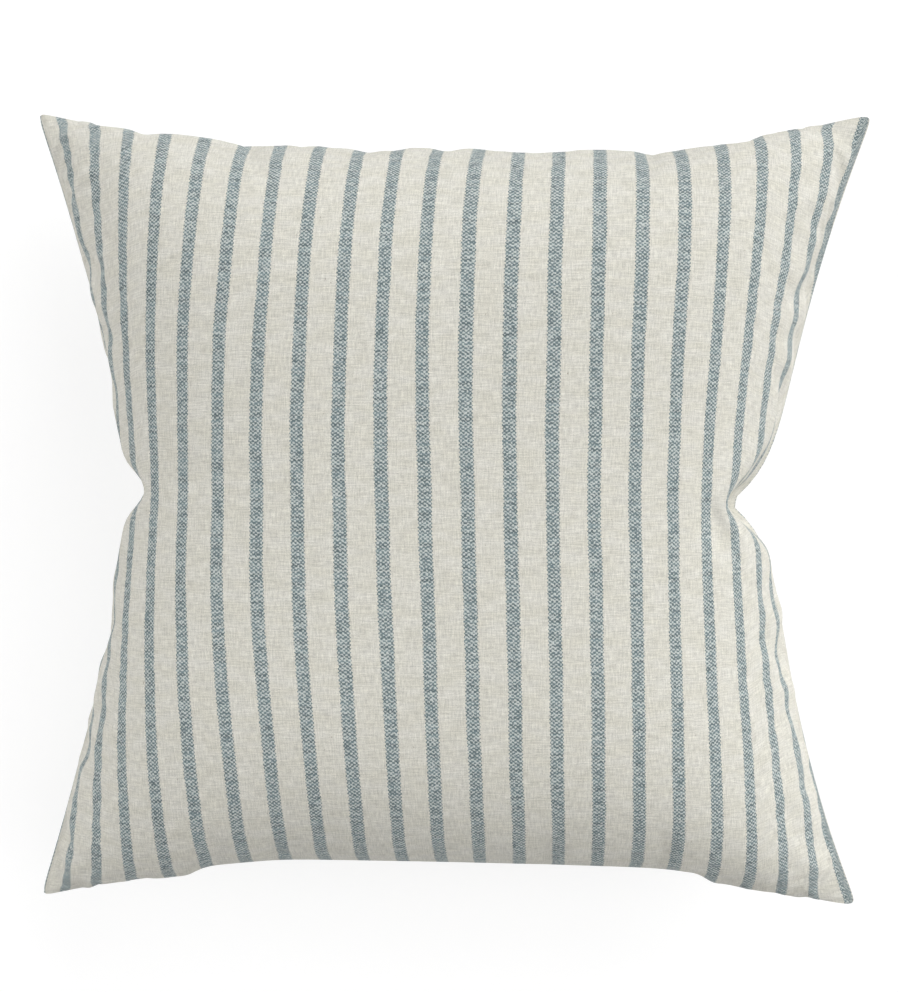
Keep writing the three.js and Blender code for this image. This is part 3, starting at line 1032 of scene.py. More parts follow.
@dataclass
class Cover:
    """The striped cover: two panels sewn together along four seams, with a zip in the lower one."""

    pillow: Pillow
    spaces: int = 100
    cloth: float = 0.0008
    allowance: float = 0.006
    zip_allowance: float = 0.0034
    least_allowance: float = 0.0004  # at the very corners
    allowance_taper: float = 0.030  # how far from a corner the allowance is whole
    trimmed_right: float = 0.009  # how much cloth the seam takes up at the middle of the right side
    trim_width: float = 0.025  # how far from the seam the cloth is drawn along
    seam_gap: float = 0.0002  # from the seam's plane to the outside of each panel
    mouth_half: float = 0.0014  # half the gap between the lips of the zip's mouth
    mouth_widening: float = 0.0012  # how much further apart they are behind their edges
    mouth_depth: float = 0.030  # how far from the seam the parting fades out
    mouth_taper: float = 0.016  # how far past the tape's end the mouth closes
    lip_ahead: float = 0.0044  # from the tape out to the edges of the lips
    lip_roll: float = 0.0014  # how far the cloth behind a lip's edge rolls inwards
    lip_radius: float = 0.0023
    drawn_in: float = 0.035  # how far from the seam the cloth is drawn to the zip's line
    folds: tuple[Fold, ...] = (
        Fold(0.162, -0.012, -62.0, 0.018, 0.0072, 0.0078),
        Fold(0.150, 0.006, -40.0, 0.020, 0.0070, -0.0022),
        Fold(0.172, -0.022, -60.0, 0.016, 0.0060, -0.0022),
        Fold(0.178, 0.052, 72.0, 0.030, 0.0060, 0.0016),
        Fold(-0.158, 0.020, 10.0, 0.020, 0.0060, 0.0020),
        Fold(0.165, 0.205, 25.0, 0.030, 0.008, 0.0030),
        Fold(0.120, 0.214, 70.0, 0.012, 0.006, 0.0030),
        Fold(-0.120, 0.212, 115.0, 0.016, 0.007, 0.0024),
        Fold(-0.146, -0.214, 80.0, 0.012, 0.010, 0.0030),
        Fold(0.060, -0.214, 85.0, 0.012, 0.010, 0.0025),
        Fold(0.130, -0.214, 95.0, 0.014, 0.006, 0.0045),
    )
    rest_hold: float = 0.5  # how strongly the filling holds the cloth to its form, from 0 to 1
    spare_cloth: float = 0.040  # how much longer the cloth is beside the seams, where it puckers
    frames: int = 16
    furthest: float = 0.006  # the most that the cloth may move from the form
    closest: float = 0.8  # the share of its height above the seam's plane that each point keeps
    seams: dict[Edge, np.ndarray] = field(default_factory=dict)

    def zip_share(self, x: np.ndarray) -> np.ndarray:
        """How much of the zip's mouth there is at each x: 1 along the zip and 0 past its ends."""
        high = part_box("zipper_tape_front")[1]
        return smoothstep(high.x + self.mouth_taper, high.x - 0.002, np.abs(x))

    def fit_mouth(self, points: np.ndarray, b: np.ndarray, face: Face) -> None:
        """Brings the lower seam to the zip and parts its lips.

        Args:
            points: The panel's grid, which is changed.
            b: The grid's shares along the cloth.
            face: The panel's face.
        """
        seam_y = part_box("zipper_tape_front")[0].y - self.lip_ahead
        beside = self.zip_share(points[0, :, 0])
        from_seam = (1.0 + b) * self.pillow.half_cut
        near = np.exp(-((from_seam / self.drawn_in) ** 2))
        pull = (seam_y - points[0, :, 1]) * beside
        points[:, :, 1] += near[:, None] * pull[None, :]
        rolled = from_seam / self.lip_radius
        wall = self.lip_roll * rolled * np.exp(1.0 - rolled)
        part = self.mouth_half + self.mouth_widening * smoothstep(0.0, self.lip_radius, from_seam)
        fade = np.exp(-from_seam / self.mouth_depth)
        points[:, :, 1] += wall[:, None] * beside[None, :]
        points[:, :, 2] += face.value * (part * fade)[:, None] * beside[None, :]

    def shape(self, face: Face, shares: np.ndarray) -> np.ndarray:
        """Places a panel's grid, before the cloth is let go.

        Args:
            face: The panel's face.
            shares: The grid's shares, across and along alike.

        Returns:
            The points, indexed by b, then a.
        """
        points = self.pillow.surface(shares, shares, face)
        if face is Face.FRONT:
            high = smoothstep(0.0, 0.03, points[:, :, 2] - self.pillow.seam_height)
            for fold in self.folds:
                points[:, :, 2] -= fold.dent(points[:, :, 0], points[:, :, 1]) * high
        self.fit_mouth(points, shares, face)
        rim = np.maximum(np.abs(shares)[:, None], np.abs(shares)[None, :]) > 0.9999
        points[:, :, 2] += np.where(rim, face.value * self.seam_gap, 0.0)
        return points

    def with_allowance(
        self, points: np.ndarray, shares: np.ndarray, face: Face
    ) -> tuple[np.ndarray, np.ndarray, list]:
        """Adds the allowances, which turn in from the seams and lie flat against the other panel's.

        Args:
            points: The panel's grid.
            shares: The grid's shares.
            face: The panel's face.

        Returns:
            All points, their places on the flat cloth, and the faces.
        """
        count = len(shares)
        cut = self.pillow.half_cut
        s, _ = np.meshgrid(shares * cut, shares)
        middle = smoothstep(0.75, 0.45, np.abs(shares))[:, None]
        s -= self.trimmed_right * smoothstep(cut - self.trim_width, cut, s) * middle
        # Along the stripes the map follows the cloth's real length, so the yarn is as thick everywhere.
        steps = np.linalg.norm(np.diff(points, axis=0), axis=2)
        t = np.pad(np.cumsum(steps, axis=0), ((1, 0), (0, 0)))
        t -= t[count // 2]
        all_points = [points.reshape(-1, 3)]
        places = [np.stack([s.ravel(), t.ravel()], axis=1)]
        faces = grid_faces(count, count, face is Face.FRONT)
        number = np.arange(count * count).reshape(count, count)
        total = count * count
        strips = {
            Edge.BOTTOM: (number[0, :], (0.0, -1.0), False),
            Edge.TOP: (number[-1, :], (0.0, 1.0), True),
            Edge.LEFT: (number[:, 0], (-1.0, 0.0), True),
            Edge.RIGHT: (number[:, -1], (1.0, 0.0), False),
        }
        for edge, (rim, outward, flip) in strips.items():
            line = all_points[0][rim]
            inward = sideways(line)
            inward *= -np.sign(inward @ np.array(outward))[:, None]
            whole = self.zip_allowance if edge is Edge.BOTTOM else self.allowance
            share = smoothstep(0.0, self.allowance_taper, (1.0 - np.abs(shares)) * cut)
            depth = self.least_allowance + (whole - self.least_allowance) * share
            before = rim
            for step in (0.35, 1.0):
                moved = line.copy()
                moved[:, :2] += inward * (depth * step)[:, None]
                flat = places[0][rim] + np.array(outward) * (depth * step)[:, None]
                after = np.arange(total, total + count)
                total += count
                all_points.append(moved)
                places.append(flat)
                for i in range(count - 1):
                    quad = (before[i], before[i + 1], after[i + 1], after[i])
                    faces.append(quad if flip == (face is Face.BACK) else quad[::-1])
                before = after
            if face is Face.FRONT:
                level = np.full((count, 1), self.pillow.seam_height)
                self.seams[edge] = np.concatenate([line[:, :2], level], axis=1)
        faces = [tuple(int(i) for i in quad) for quad in faces]
        return np.concatenate(all_points), np.concatenate(places), faces

    def panel(self, face: Face) -> bpy.types.Object:
        """Builds one panel, with its allowances and the thickness of its cloth.

        Args:
            face: The panel's face.

        Returns:
            The finished panel.
        """
        shares = panel_shares(self.spaces)
        points = self.shape(face, shares)
        points = self.let_go(points, shares, face)
        everything, places, faces = self.with_allowance(points, shares, face)
        piece = mesh_object(f"linen_{face.name.lower()}_panel", everything, faces)
        write_flat_map(piece.data, places)
        smooth(piece)
        refine(piece)
        thicken(piece, self.cloth)
        return piece

    def grips(
        self, points: np.ndarray, shares: np.ndarray, face: Face
    ) -> tuple[np.ndarray, np.ndarray, np.ndarray]:
        """Works out where a panel's cloth is held while it settles.

        Args:
            points: The panel's grid.
            shares: The grid's shares.
            face: The panel's face.

        Returns:
            For each point, from 0 to 1: how fixed it is at a seam, the zip or the floor, how firmly it is
            held in all, and how little spare cloth there is round it.
        """
        reach = np.maximum(np.abs(shares)[:, None], np.abs(shares)[None, :])
        from_seam = (1.0 - reach) * self.pillow.half_cut
        near_zip = smoothstep(0.050, 0.030, (1.0 + shares) * self.pillow.half_cut)[:, None]
        beside_zip = self.zip_share(points[:, :, 0]) * near_zip
        sewn = smoothstep(0.004, 0.002, from_seam)
        fixed = np.maximum(np.maximum(sewn, beside_zip), self.on_floor(points, face))
        hold = np.maximum(self.rest_hold * smoothstep(0.0, 0.10, from_seam), fixed)
        snug = 1.0 - smoothstep(0.110, 0.015, from_seam) * (1.0 - fixed)
        return fixed, hold, snug

    def simulated(
        self, points: np.ndarray, face: Face, hold: np.ndarray, snug: np.ndarray
    ) -> np.ndarray:
        """Runs the cloth simulation on a copy of a panel's grid.

        Args:
            points: The panel's grid.
            face: The panel's face.
            hold: How firmly each point is held.
            snug: How little spare cloth there is round it.

        Returns:
            The grid where the simulation leaves it.
        """
        rows, columns = points.shape[:2]
        name = f"settling_{face.name.lower()}"
        piece = mesh_object(name, points.reshape(-1, 3), grid_faces(rows, columns, True))
        for title, weights in (("held", hold), ("snug", snug)):
            group = piece.vertex_groups.new(name=title)
            for number, weight in enumerate(weights.ravel()):
                group.add([number], float(weight), "REPLACE")
        cloth = piece.modifiers.new("cloth", "CLOTH")
        rules = cloth.settings
        rules.quality, rules.mass = 6, 0.15
        rules.tension_stiffness = rules.compression_stiffness = 20.0
        rules.shear_stiffness, rules.bending_stiffness = 8.0, 0.6
        rules.vertex_group_mass, rules.pin_stiffness = "held", 1.0
        rules.vertex_group_shrink, rules.shrink_min = "snug", -self.spare_cloth
        rules.effector_weights.gravity = 0.0
        cloth.collision_settings.use_collision = False
        cloth.point_cache.frame_start, cloth.point_cache.frame_end = 1, self.frames
        for frame_number in range(1, self.frames + 1):
            bpy.context.scene.frame_set(frame_number)
        evaluated = piece.evaluated_get(bpy.context.evaluated_depsgraph_get())
        settled = np.zeros(rows * columns * 3)
        evaluated.data.vertices.foreach_get("co", settled)
        bpy.data.objects.remove(piece)
        bpy.context.scene.frame_set(1)
        return settled.reshape(points.shape)

    def let_go(self, points: np.ndarray, shares: np.ndarray, face: Face) -> np.ndarray:
        """Lets the cloth of a panel settle by simulation, held softly to the stuffed form.

        The cloth is a little longer beside the seams than the form, so it puckers as sewn cloth does.

        Args:
            points: The panel's grid.
            shares: The grid's shares.
            face: The panel's face.

        Returns:
            The settled grid.
        """
        fixed, hold, snug = self.grips(points, shares, face)
        moved = self.simulated(points, face, hold, snug) - points
        length = np.maximum(np.linalg.norm(moved, axis=2, keepdims=True), 1e-9)
        LOG.info("%s cloth moved up to %.1f mm", face.name.lower(), 1000 * length.max())
        kept = self.furthest * np.tanh(length / self.furthest) / length
        settled = points + moved * kept * (1.0 - fixed)[:, :, None]
        # Near the seams the two panels lie close together, so neither may sink towards the other.
        level = self.pillow.seam_height
        stand = self.closest * face.value * (points[:, :, 2] - level)
        lift = np.maximum(face.value * (settled[:, :, 2] - level), stand)
        settled[:, :, 2] = level + face.value * lift
        return settled

    def on_floor(self, points: np.ndarray, face: Face) -> np.ndarray:
        """Works out how firmly the floor holds each point.

        Args:
            points: The panel's grid.
            face: The panel's face.

        Returns:
            1 on the patch that the pillow rests on, and 0 well away from it.
        """
        if face is Face.FRONT:
            return np.zeros(points.shape[:2])
        return smoothstep(0.012, 0.004, points[:, :, 2])

    def build(self) -> None:
        """Builds both panels and dresses them."""
        linen = StripedLinen().material()
        for face in Face:
            name = face.name.lower()
            piece = self.panel(face)
            settle(piece, "cover", linen, (f"cover_{name}_panel",))


# ---- Stitches and wound coils ------------------------------------------------------------------------


class Stitch(Enum):
    """The kinds of stitch."""

    RUNNING = "running"
    OVERLOCK = "overlock"


def node_program(name: str, sizes: dict[str, float]) -> tuple[Graph, bpy.types.Node]:
    """Starts a Geometry Nodes tree with named sizes and a material.

    Args:
        name: The tree's name.
        sizes: Its size inputs and their usual values.

    Returns:
        The graph and its input node.
    """
    tree = bpy.data.node_groups.new(name, "GeometryNodeTree")
    tree.interface.new_socket("Geometry", in_out="INPUT", socket_type="NodeSocketGeometry")
    for title, value in sizes.items():
        socket = tree.interface.new_socket(title, in_out="INPUT", socket_type="NodeSocketFloat")
        socket.default_value = value
    tree.interface.new_socket("Material", in_out="INPUT", socket_type="NodeSocketMaterial")
    tree.interface.new_socket("Geometry", in_out="OUTPUT", socket_type="NodeSocketGeometry")
    graph = Graph(tree)
    return graph, graph.node("NodeGroupInput")


def finish_program(graph: Graph, given: bpy.types.Node, shape: bpy.types.NodeSocket) -> None:
    """Ends a Geometry Nodes tree: real geometry, smooth, with its material.

    Args:
        graph: The tree's graph.
        given: Its input node.
        shape: What it has made.
    """
    real = graph.wire("GeometryNodeRealizeInstances", {"Geometry": shape})
    soft = graph.wire("GeometryNodeSetShadeSmooth", {"Geometry": real})
    finish = {"Geometry": soft, "Material": given.outputs["Material"]}
    dressed = graph.wire("GeometryNodeSetMaterial", finish)
    graph.feed(graph.node("NodeGroupOutput").inputs[0], dressed)


def round_thread(
    graph: Graph, line: bpy.types.NodeSocket, radius: bpy.types.NodeSocket
) -> bpy.types.NodeSocket:
    """Lays a round thread along a curve.

    Args:
        graph: The tree's graph.
        line: The curve.
        radius: The thread's radius.

    Returns:
        The thread's mesh.
    """
    profile = graph.wire("GeometryNodeCurvePrimitiveCircle", {"Resolution": 5, "Radius": radius})
    return graph.wire("GeometryNodeCurveToMesh", {"Curve": line, "Profile Curve": profile})


def stitch_program(kind: Stitch) -> bpy.types.NodeTree:
    """Builds the tree that sets one kind of stitch along a line.

    Args:
        kind: The kind of stitch.

    Returns:
        The tree, with a stitch's pitch, length, height and thread radius as its inputs.
    """
    name = f"{kind.value} stitches"
    if name in bpy.data.node_groups:
        return bpy.data.node_groups[name]
    sizes = {"Pitch": 0.0025, "Length": 0.003, "Height": 0.0025, "Thread Radius": 0.00018}
    graph, given = node_program(name, sizes)
    line = graph.wire("GeometryNodeMeshToCurve", {"Mesh": given.outputs["Geometry"]})
    inputs = {"Curve": line, "Length": given.outputs["Pitch"]}
    points = graph.wire("GeometryNodeResampleCurve", inputs, mode="LENGTH")
    half_length = graph.math("DIVIDE", given.outputs["Length"], 2.0)
    half_height = graph.math("DIVIDE", given.outputs["Height"], 2.0)
    radius = given.outputs["Thread Radius"]
    if kind is Stitch.OVERLOCK:
        ring = graph.wire("GeometryNodeCurvePrimitiveCircle", {"Resolution": 10, "Radius": 1.0})
        size = graph.wire("ShaderNodeCombineXYZ", {0: half_height, 1: half_length, 2: 1.0})
        # The ring stands across the seam, and leans a little along it.
        turn = (0.0, math.pi / 2, math.radians(14))
        inputs = {"Geometry": ring, "Scale": size, "Rotation": turn}
        stood = graph.wire("GeometryNodeTransform", inputs)
        one = round_thread(graph, stood, radius)
    else:
        bead = graph.wire("GeometryNodeMeshUVSphere", {"Segments": 6, "Rings": 5, "Radius": 1.0})
        size = graph.wire("ShaderNodeCombineXYZ", {0: half_length, 1: radius, 2: radius})
        one = graph.wire("GeometryNodeTransform", {"Geometry": bead, "Scale": size})
    tangent = graph.wire("GeometryNodeInputTangent", {})
    along = {"axis": "X", "pivot_axis": "Z"}
    heading = graph.wire("FunctionNodeAlignRotationToVector", {"Vector": tangent}, **along)
    inputs = {"Points": points, "Instance": one, "Rotation": heading}
    finish_program(graph, given, graph.wire("GeometryNodeInstanceOnPoints", inputs))
    return graph.tree


def coil_program() -> bpy.types.NodeTree:
    """Builds the tree that winds a flat coil round the X axis, as the teeth of a coil zip are.

    Returns:
        The tree, with the coil's turns, sizes and thread radius as its inputs.
    """
    name = "wound coil"
    if name in bpy.data.node_groups:
        return bpy.data.node_groups[name]
    sizes = {"Turns": 100.0, "Run": 0.2, "Depth": 0.002, "Height": 0.002, "Thread Radius": 0.0003}
    graph, given = node_program(name, sizes)
    inputs = {
        "Resolution": 10,
        "Rotations": given.outputs["Turns"],
        "Start Radius": 1.0,
        "End Radius": 1.0,
        "Height": given.outputs["Run"],
    }
    wound = graph.wire("GeometryNodeCurveSpiral", inputs)
    half = [graph.math("DIVIDE", given.outputs[title], 2.0) for title in ("Height", "Depth", "Run")]
    size = graph.wire("ShaderNodeCombineXYZ", {0: half[0], 1: half[1], 2: 1.0})
    inputs = {"Geometry": wound, "Scale": size, "Rotation": (0.0, math.pi / 2, 0.0)}
    turned = graph.wire("GeometryNodeTransform", inputs)
    start = graph.wire("ShaderNodeCombineXYZ", {0: graph.math("MULTIPLY", half[2], -1.0)})
    centred = graph.wire("GeometryNodeTransform", {"Geometry": turned, "Translation": start})
    finish_program(graph, given, round_thread(graph, centred, given.outputs["Thread Radius"]))
    return graph.tree


def run_program(
    name: str,
    tree: bpy.types.NodeTree,
    line: np.ndarray,
    sizes: dict[str, float],
    material: bpy.types.Material,
) -> bpy.types.Object:
    """Runs a Geometry Nodes tree on a line and keeps the result as a plain mesh.

    Args:
        name: The piece's name.
        tree: The tree.
        line: The points of the line that it follows.
        sizes: Its inputs by name.
        material: Its material.

    Returns:
        The plain piece.
    """
    edges = [(i, i + 1) for i in range(len(line) - 1)]
    source = mesh_object(f"{name}_line", line, [], edges)
    program = source.modifiers.new("program", "NODES")
    program.node_group = tree
    wanted = dict(sizes, Material=material)
    for socket in tree.interface.items_tree:
        if socket.in_out == "INPUT" and socket.name in wanted:
            program[socket.identifier] = wanted[socket.name]
    evaluated = source.evaluated_get(bpy.context.evaluated_depsgraph_get())
    mesh = bpy.data.meshes.new_from_object(evaluated)
    bpy.data.objects.remove(source)
    mesh.name = name
    return link(bpy.data.objects.new(name, mesh))


def moved_in(line: np.ndarray, depth: float, centre: tuple[float, float] = (0.0, 0.0)) -> np.ndarray:
    """Moves a seam line inwards in its own plane.

    Args:
        line: Its points.
        depth: How far it moves.
        centre: A place that is inside.

    Returns:
        The moved points.
    """
    inward = sideways(line)
    towards = np.array(centre) - line[:, :2].mean(axis=0)
    if (inward.mean(axis=0) @ towards) < 0:
        inward = -inward
    moved = line.copy()
    moved[:, :2] += inward * depth
    return moved


@dataclass
class SeamStitches:
    """The overlock stitches that close the cover's seams, inside along the edge of the allowances."""

    cover: Cover
    pitch: float = 0.0025
    reach: float = 0.0030  # from the edge of the allowances inwards over the cloth
    height: float = 0.0028
    thread: float = 0.00016
    corner_gap: float = 0.035  # from each corner to the first stitch
    setback: float = 0.001  # from the edge of the allowance to the middle of the stitches

    def stretch(self, edge: Edge, low: float, high: float) -> np.ndarray:
        """The line of the stitches along part of a seam.

        Args:
            edge: The seam.
            low: Where the part starts, in X or, for a side seam, in Y.
            high: Where it ends.

        Returns:
            The points of the line.
        """
        seam = self.cover.seams[edge]
        axis = 0 if edge in (Edge.TOP, Edge.BOTTOM) else 1
        depth = self.cover.zip_allowance if edge is Edge.BOTTOM else self.cover.allowance
        line = moved_in(seam, depth - self.setback)
        keep = (seam[:, axis] > low) & (seam[:, axis] < high)
        return line[keep]

    def build(self) -> None:
        """Sews the five stretches."""
        thread = SpunThread().material()
        sizes = {
            "Pitch": self.pitch,
            "Length": self.reach,
            "Height": self.height,
            "Thread Radius": self.thread,
        }
        zip_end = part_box("zipper_tape_front")[1].x + 0.004
        stop_x = self.cover.pillow.half_width - self.corner_gap
        stop_y = self.cover.pillow.half_height() - self.corner_gap
        stretches = {
            "seam_thread_top": (Edge.TOP, -stop_x, stop_x),
            "seam_thread_left": (Edge.LEFT, -stop_y, stop_y),
            "seam_thread_right": (Edge.RIGHT, -stop_y, stop_y),
            "seam_thread_bottom_left": (Edge.BOTTOM, -stop_x, -zip_end),
            "seam_thread_bottom_right": (Edge.BOTTOM, zip_end, stop_x),
        }
        for node, (edge, low, high) in stretches.items():
            line = self.stretch(edge, low, high)
            name = node.replace("seam_thread", "overlock")
            piece = run_program(name, stitch_program(Stitch.OVERLOCK), line, sizes, thread)
            settle(piece, "cover", None, (node,))


# ---- The zip -----------------------------------------------------------------------------------------


def softened_copy(node: str, name: str, bevel: float) -> bpy.types.Object:
    """Copies a CAD node and rounds its edges.

    Args:
        node: The CAD node.
        name: The new piece's name.
        bevel: The width of the rounding.

    Returns:
        The new piece.
    """
    mesh = frame["nodes"][node].data.copy()
    mesh.name = name
    work = bmesh.new()
    work.from_mesh(mesh)
    bmesh.ops.remove_doubles(work, verts=work.verts, dist=1e-6)
    bmesh.ops.dissolve_limit(work, angle_limit=math.radians(2), verts=work.verts, edges=work.edges)
    work.to_mesh(mesh)
    work.free()
    piece = link(bpy.data.objects.new(name, mesh))
    rounding = piece.modifiers.new("rounding", "BEVEL")
    rounding.width, rounding.segments, rounding.limit_method = bevel, 3, "ANGLE"
    rounding.angle_limit = math.radians(35)
    return piece


@dataclass
class ConcealedZip:
    """The zip in the lower seam: woven tapes, wound coils, stops, a slider and its pull."""

    tooth_pitch: float = 0.0016
    coil_thread: float = 0.00028
    bevel: float = 0.00014
    stitch_pitch: float = 0.0032
    stitch_length: float = 0.0024

    def coil(self, side: str, nylon: bpy.types.Material) -> None:
        """Winds the coil of one side.

        Args:
            side: front or back.
            nylon: Its finish.
        """
        node = f"zipper_coil_{side}"
        low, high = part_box(node)
        size = high - low
        sizes = {
            "Turns": size.x / self.tooth_pitch,
            "Run": size.x - 2 * self.coil_thread,
            "Depth": size.y - 2 * self.coil_thread,
            "Height": size.z - 2 * self.coil_thread,
            "Thread Radius": self.coil_thread,
        }
        line = np.array([(0.0, 0.0, 0.0), (0.001, 0.0, 0.0)])
        piece = run_program(f"coil_{side}", coil_program(), line, sizes, nylon)
        middle = (low + high) / 2
        piece.data.transform(piece.matrix_world.Translation(middle))
        settle(piece, "cover", None, (node,))

    def tape_stitches(self, side: str, thread: bpy.types.Material) -> None:
        """Sews one tape to its panel.

        Args:
            side: front or back.
            thread: The thread's finish.
        """
        node = f"tape_thread_{side}"
        low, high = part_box(node)
        middle = (low + high) / 2
        line = np.array([(x, middle.y, middle.z) for x in np.linspace(low.x, high.x, 40)])
        radius = (high.y - low.y) / 2
        sizes = {"Pitch": self.stitch_pitch, "Length": self.stitch_length, "Thread Radius": radius}
        tree = stitch_program(Stitch.RUNNING)
        piece = run_program(f"tape_stitches_{side}", tree, line, sizes, thread)
        settle(piece, "cover", None, (node,))

    def build(self) -> None:
        """Builds the zip's pieces and dresses the CAD nodes that stay."""
        nylon, metal = Nylon().material(), ZipMetal().material()
        thread = SpunThread("tape_thread").material()
        tape = WovenCloth("zip_tape_cloth", (0.66, 0.64, 0.56, 1.0), 0.0006, upright=True).material()
        for side in ("front", "back"):
            self.coil(side, nylon)
            self.tape_stitches(side, thread)
            settle(frame["nodes"][f"zipper_tape_{side}"], "cover", tape)
            settle(frame["nodes"][f"zipper_top_stop_{side}"], "cover", metal)
        settle(frame["nodes"]["zipper_bottom_stop"], "cover", metal)
        for node, body in (("zipper_slider", "slider"), ("zipper_pull", "pull")):
            piece = softened_copy(node, node.replace("zipper", "metal"), self.bevel)
            settle(piece, body, metal, (node,))


# ---- The insert --------------------------------------------------------------------------------------


@dataclass
class Insert:
    """The insert: two pieces of ticking, sewn together round a filling of feathers."""

    pillow: Pillow
    spaces: int = 60
    crowding: float = 0.4  # how much closer the grid's lines are towards the seams
    inset: float = 0.010  # from the cover's sides
    end_inset: float = 0.015
    zip_inset: float = 0.026  # clear of the zip's tapes and coils
    ticking: float = 0.0005
    seam_gap: float = 0.0003  # from the seam's plane to each side of the ticking
    fill_gap: float = 0.003
    flat_side: float = 0.54
    stitch_out: float = 0.0006  # from the seam to the stitches that close it
    label_out: float = 0.0008
    label_cloth: float = 0.0004
    label_points: int = 13

    def shape(self, face: Face, deeper: float = 0.0) -> np.ndarray:
        """Places a grid of ticking, or of the filling's surface.

        Args:
            face: The face that it covers.
            deeper: How far inside the ticking it lies.

        Returns:
            The points, indexed by row, then column.
        """
        shares = panel_shares(self.spaces, self.crowding)
        ends = (self.end_inset + deeper, self.zip_inset + deeper)
        points = self.pillow.surface(shares, shares, face, self.inset + deeper, ends)
        if deeper == 0.0:
            points[:, :, 2] += face.value * self.seam_gap
        return points

    def ticking_piece(self, face: Face) -> bpy.types.Object:
        """Builds one side of the ticking.

        Args:
            face: The side.

        Returns:
            The finished piece.
        """
        count = self.spaces + 1
        faces = grid_faces(count, count, face is Face.FRONT)
        name = f"ticking_{face.name.lower()}"
        piece = mesh_object(name, self.shape(face).reshape(-1, 3), faces)
        half = self.flat_side / 2 * panel_shares(self.spaces, self.crowding)
        s, t = np.meshgrid(half, half)
        write_flat_map(piece.data, np.stack([s.ravel(), t.ravel()], axis=1))
        smooth(piece)
        thicken(piece, self.ticking)
        return piece

    def filling(self) -> bpy.types.Object:
        """Builds the feather filling as one closed form.

        Returns:
            The finished piece.
        """
        count = self.spaces + 1
        front = self.shape(Face.FRONT, self.fill_gap).reshape(-1, 3)
        back = self.shape(Face.BACK, self.fill_gap).reshape(-1, 3)
        shift = len(front)
        faces = grid_faces(count, count, True)
        faces += [tuple(i + shift for i in quad) for quad in grid_faces(count, count, False)]
        piece = mesh_object("feather_filling", np.concatenate([front, back]), faces)
        shell = bmesh.new()
        shell.from_mesh(piece.data)
        bmesh.ops.remove_doubles(shell, verts=shell.verts, dist=0.0002)
        bmesh.ops.recalc_face_normals(shell, faces=shell.faces)
        shell.to_mesh(piece.data)
        shell.free()
        smooth(piece)
        return piece

    def seam_line(self, edge: Edge, low: float, high: float, out: float) -> np.ndarray:
        """A line along part of the insert's upper or lower seam.

        Args:
            edge: The seam.
            low: Where it starts, in X.
            high: Where it ends.
            out: How far outside the seam it runs.

        Returns:
            The points of the line.
        """
        row = self.shape(Face.FRONT)[-1 if edge is Edge.TOP else 0]
        line = moved_in(row, -out)
        line[:, 2] = self.pillow.seam_height
        return line[(row[:, 0] > low) & (row[:, 0] < high)]

    def threads(self) -> None:
        """Sews the insert's seam, and the stretch closed after filling."""
        thread = SpunThread("ticking_thread").material()
        sizes = {"Pitch": 0.0034, "Length": 0.0026, "Thread Radius": 0.00025}
        seams = {"insert_seam_thread": Edge.TOP, "insert_closing_thread": Edge.BOTTOM}
        for node, edge in seams.items():
            low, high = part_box(node)
            line = self.seam_line(edge, low.x, high.x, self.stitch_out)
            name = node.replace("thread", "stitches")
            piece = run_program(name, stitch_program(Stitch.RUNNING), line, sizes, thread)
            settle(piece, "cover", None, (node,))

    def label(self) -> None:
        """Builds the blank label, which is caught in the upper seam and stands up beside the ticking."""
        low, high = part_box("insert_label")
        seam = self.seam_line(Edge.TOP, low.x - 0.01, high.x + 0.01, self.label_out)
        x = np.linspace(low.x, high.x, self.label_points)
        line = np.stack([x, *(np.interp(x, seam[:, 0], seam[:, axis]) for axis in (1, 2))], axis=1)
        # From the seam the satin leans out over the ticking, and then stands up.
        top = (0.0050, (high.z - low.z) * 0.75)
        profile = np.array([(0.0, 0.0), (0.0030, 0.0008), (0.0046, 0.0035), (0.0052, 0.010), top])
        points = np.array([(x, y + out, z + up) for x, y, z in line for out, up in profile])
        piece = mesh_object("insert_satin_label", points, grid_faces(len(line), len(profile), False))
        smooth(piece)
        refine(piece)
        thicken(piece, self.label_cloth)
        settle(piece, "cover", satin("insert_label_satin"), ("insert_label",))

    def build(self) -> None:
        """Builds the ticking and the filling, and dresses them."""
        cotton = WovenCloth("ticking_cotton", (0.76, 0.74, 0.69, 1.0), 0.0005, by_map=True).material()
        fill = settle(self.filling(), "cover", Feathers().material(), ("insert_fill",))
        for face in Face:
            piece = self.ticking_piece(face)
            node = f"insert_shell_{face.name.lower()}"
            settle(piece, "cover", cotton, (node,))
        self.threads()
        self.label()


# ---- The studio --------------------------------------------------------------------------------------


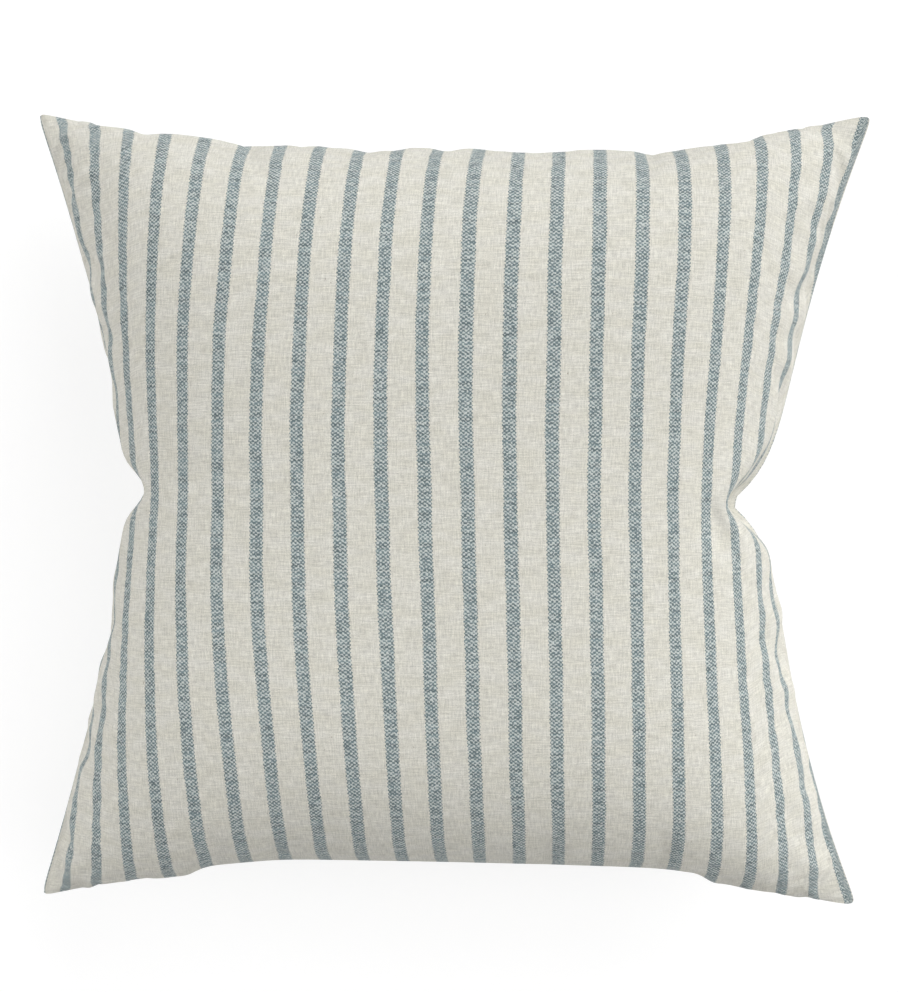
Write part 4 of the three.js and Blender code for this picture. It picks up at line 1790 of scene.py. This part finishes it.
@dataclass
class Studio:
    """A pale floor, a soft band of light across the pillow, a key light, and a camera straight above."""

    seam_height: float
    camera_distance: float = 2.0  # from the seam's plane
    view_height: float = 0.626  # what the camera takes in at the seam's plane
    aim: tuple[float, float] = (-0.00284, 0.00694)
    sensor: float = 36.0
    dome: float = 1.40  # the light from above
    side_boxes: float = 1.15  # how much more light comes from left and right than from above
    dark_ends: float = 6.0  # how much less comes from the two ends
    key: float = 1.95
    key_from: tuple[float, float, float] = (0.40, 0.65, 0.525)
    key_spread: float = 50.0  # in degrees
    floor_white: float = 0.75  # the floor, as the pillow is lit by it
    floor_bounce: float = 0.22  # extra light that it gives back up to the pillow
    floor_grey: float = 0.28  # how much of the shadow shows on it
    floor_glow: float = 0.76
    floor_half: float = 4.0

    def floor_material(self) -> bpy.types.Material:
        """Makes a white floor that glows, so that only a soft shadow shows on it.

        Returns:
            The floor's material.
        """
        pale = bpy.data.materials.new("pale_floor")
        pale.use_nodes = True
        graph = Graph(pale.node_tree)

        def lit(grey: float, glow: float) -> bpy.types.NodeSocket:
            """Mixes a plain grey that also glows.

            Args:
                grey: How much light it gives back.
                glow: How much light it gives off.

            Returns:
                The mixed surface.
            """
            plain = graph.wire("ShaderNodeBsdfDiffuse", {"Color": (grey, grey, grey, 1.0)})
            shining = graph.wire("ShaderNodeEmission", {"Strength": glow})
            return graph.wire("ShaderNodeAddShader", {0: plain, 1: shining})

        by_eye = graph.wire("ShaderNodeLightPath", {}, "Is Camera Ray")
        for_pillow = lit(self.floor_white, self.floor_bounce)
        for_eye = lit(self.floor_grey, self.floor_glow)
        surface = graph.wire("ShaderNodeMixShader", {0: by_eye, 1: for_pillow, 2: for_eye})
        graph.feed(graph.node("ShaderNodeOutputMaterial").inputs["Surface"], surface)
        return pale

    def sky(self) -> bpy.types.World:
        """Makes the light from all round: white to the eye, and brightest from left and right.

        Returns:
            The world that gives it.
        """
        world = bpy.data.worlds.new("dome")
        world.use_nodes = True
        graph = Graph(world.node_tree)
        heading = graph.wire("ShaderNodeTexCoord", {}, "Generated")
        way = graph.wire("ShaderNodeSeparateXYZ", {0: heading}, 0).node
        crosswise, lengthways = (graph.math("POWER", way.outputs[axis], 2.0) for axis in (0, 1))
        sides = graph.math("MULTIPLY", crosswise, self.side_boxes)
        ends = graph.math("MULTIPLY", lengthways, self.dark_ends)
        lean = graph.math("SUBTRACT", graph.math("ADD", 1.0, sides), ends)
        by_eye = graph.wire("ShaderNodeLightPath", {}, "Is Camera Ray")
        # Where the lean is below nothing there is no light, and the camera always sees white.
        strength = graph.math("MAXIMUM", graph.math("MULTIPLY", lean, self.dome), by_eye)
        glow = graph.wire("ShaderNodeBackground", {"Color": (1.0, 1.0, 1.0, 1.0), "Strength": strength})
        graph.feed(graph.node("ShaderNodeOutputWorld").inputs["Surface"], glow)
        return world

    def build(self) -> None:
        """Builds the lights, the floor and the camera."""
        scene = bpy.context.scene
        scene.view_settings.view_transform = "Standard"
        scene.world = self.sky()
        lamp = bpy.data.lights.new("key", "SUN")
        lamp.energy, lamp.angle = self.key, math.radians(self.key_spread)
        sun = link(bpy.data.objects.new("key", lamp))
        sun.rotation_euler = Vector(self.key_from).to_track_quat("Z", "Y").to_euler()
        turns = ((-1, -1), (1, -1), (1, 1), (-1, 1))
        corners = np.array([(x * self.floor_half, y * self.floor_half, 0.0) for x, y in turns])
        floor = mesh_object("studio_floor", corners, [(0, 1, 2, 3)])
        floor.data.materials.append(self.floor_material())
        lens = bpy.data.cameras.new("camera")
        lens.sensor_width = self.sensor
        lens.lens = self.sensor * self.camera_distance / self.view_height
        camera = link(bpy.data.objects.new("camera", lens))
        camera.location = (*self.aim, self.seam_height + self.camera_distance)
        scene.camera = camera


def main() -> None:
    """Builds the pillow and its studio."""
    logging.basicConfig(level=logging.INFO, format="%(message)s")
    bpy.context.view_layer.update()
    pillow = Pillow()
    Studio(pillow.seam_height).build()
    cover = Cover(pillow)
    cover.build()
    SeamStitches(cover).build()
    ConcealedZip().build()
    Insert(pillow).build()
    settle(frame["nodes"]["care_label"], "cover", satin("care_label_satin"))


if __name__ == "__main__":
    main()
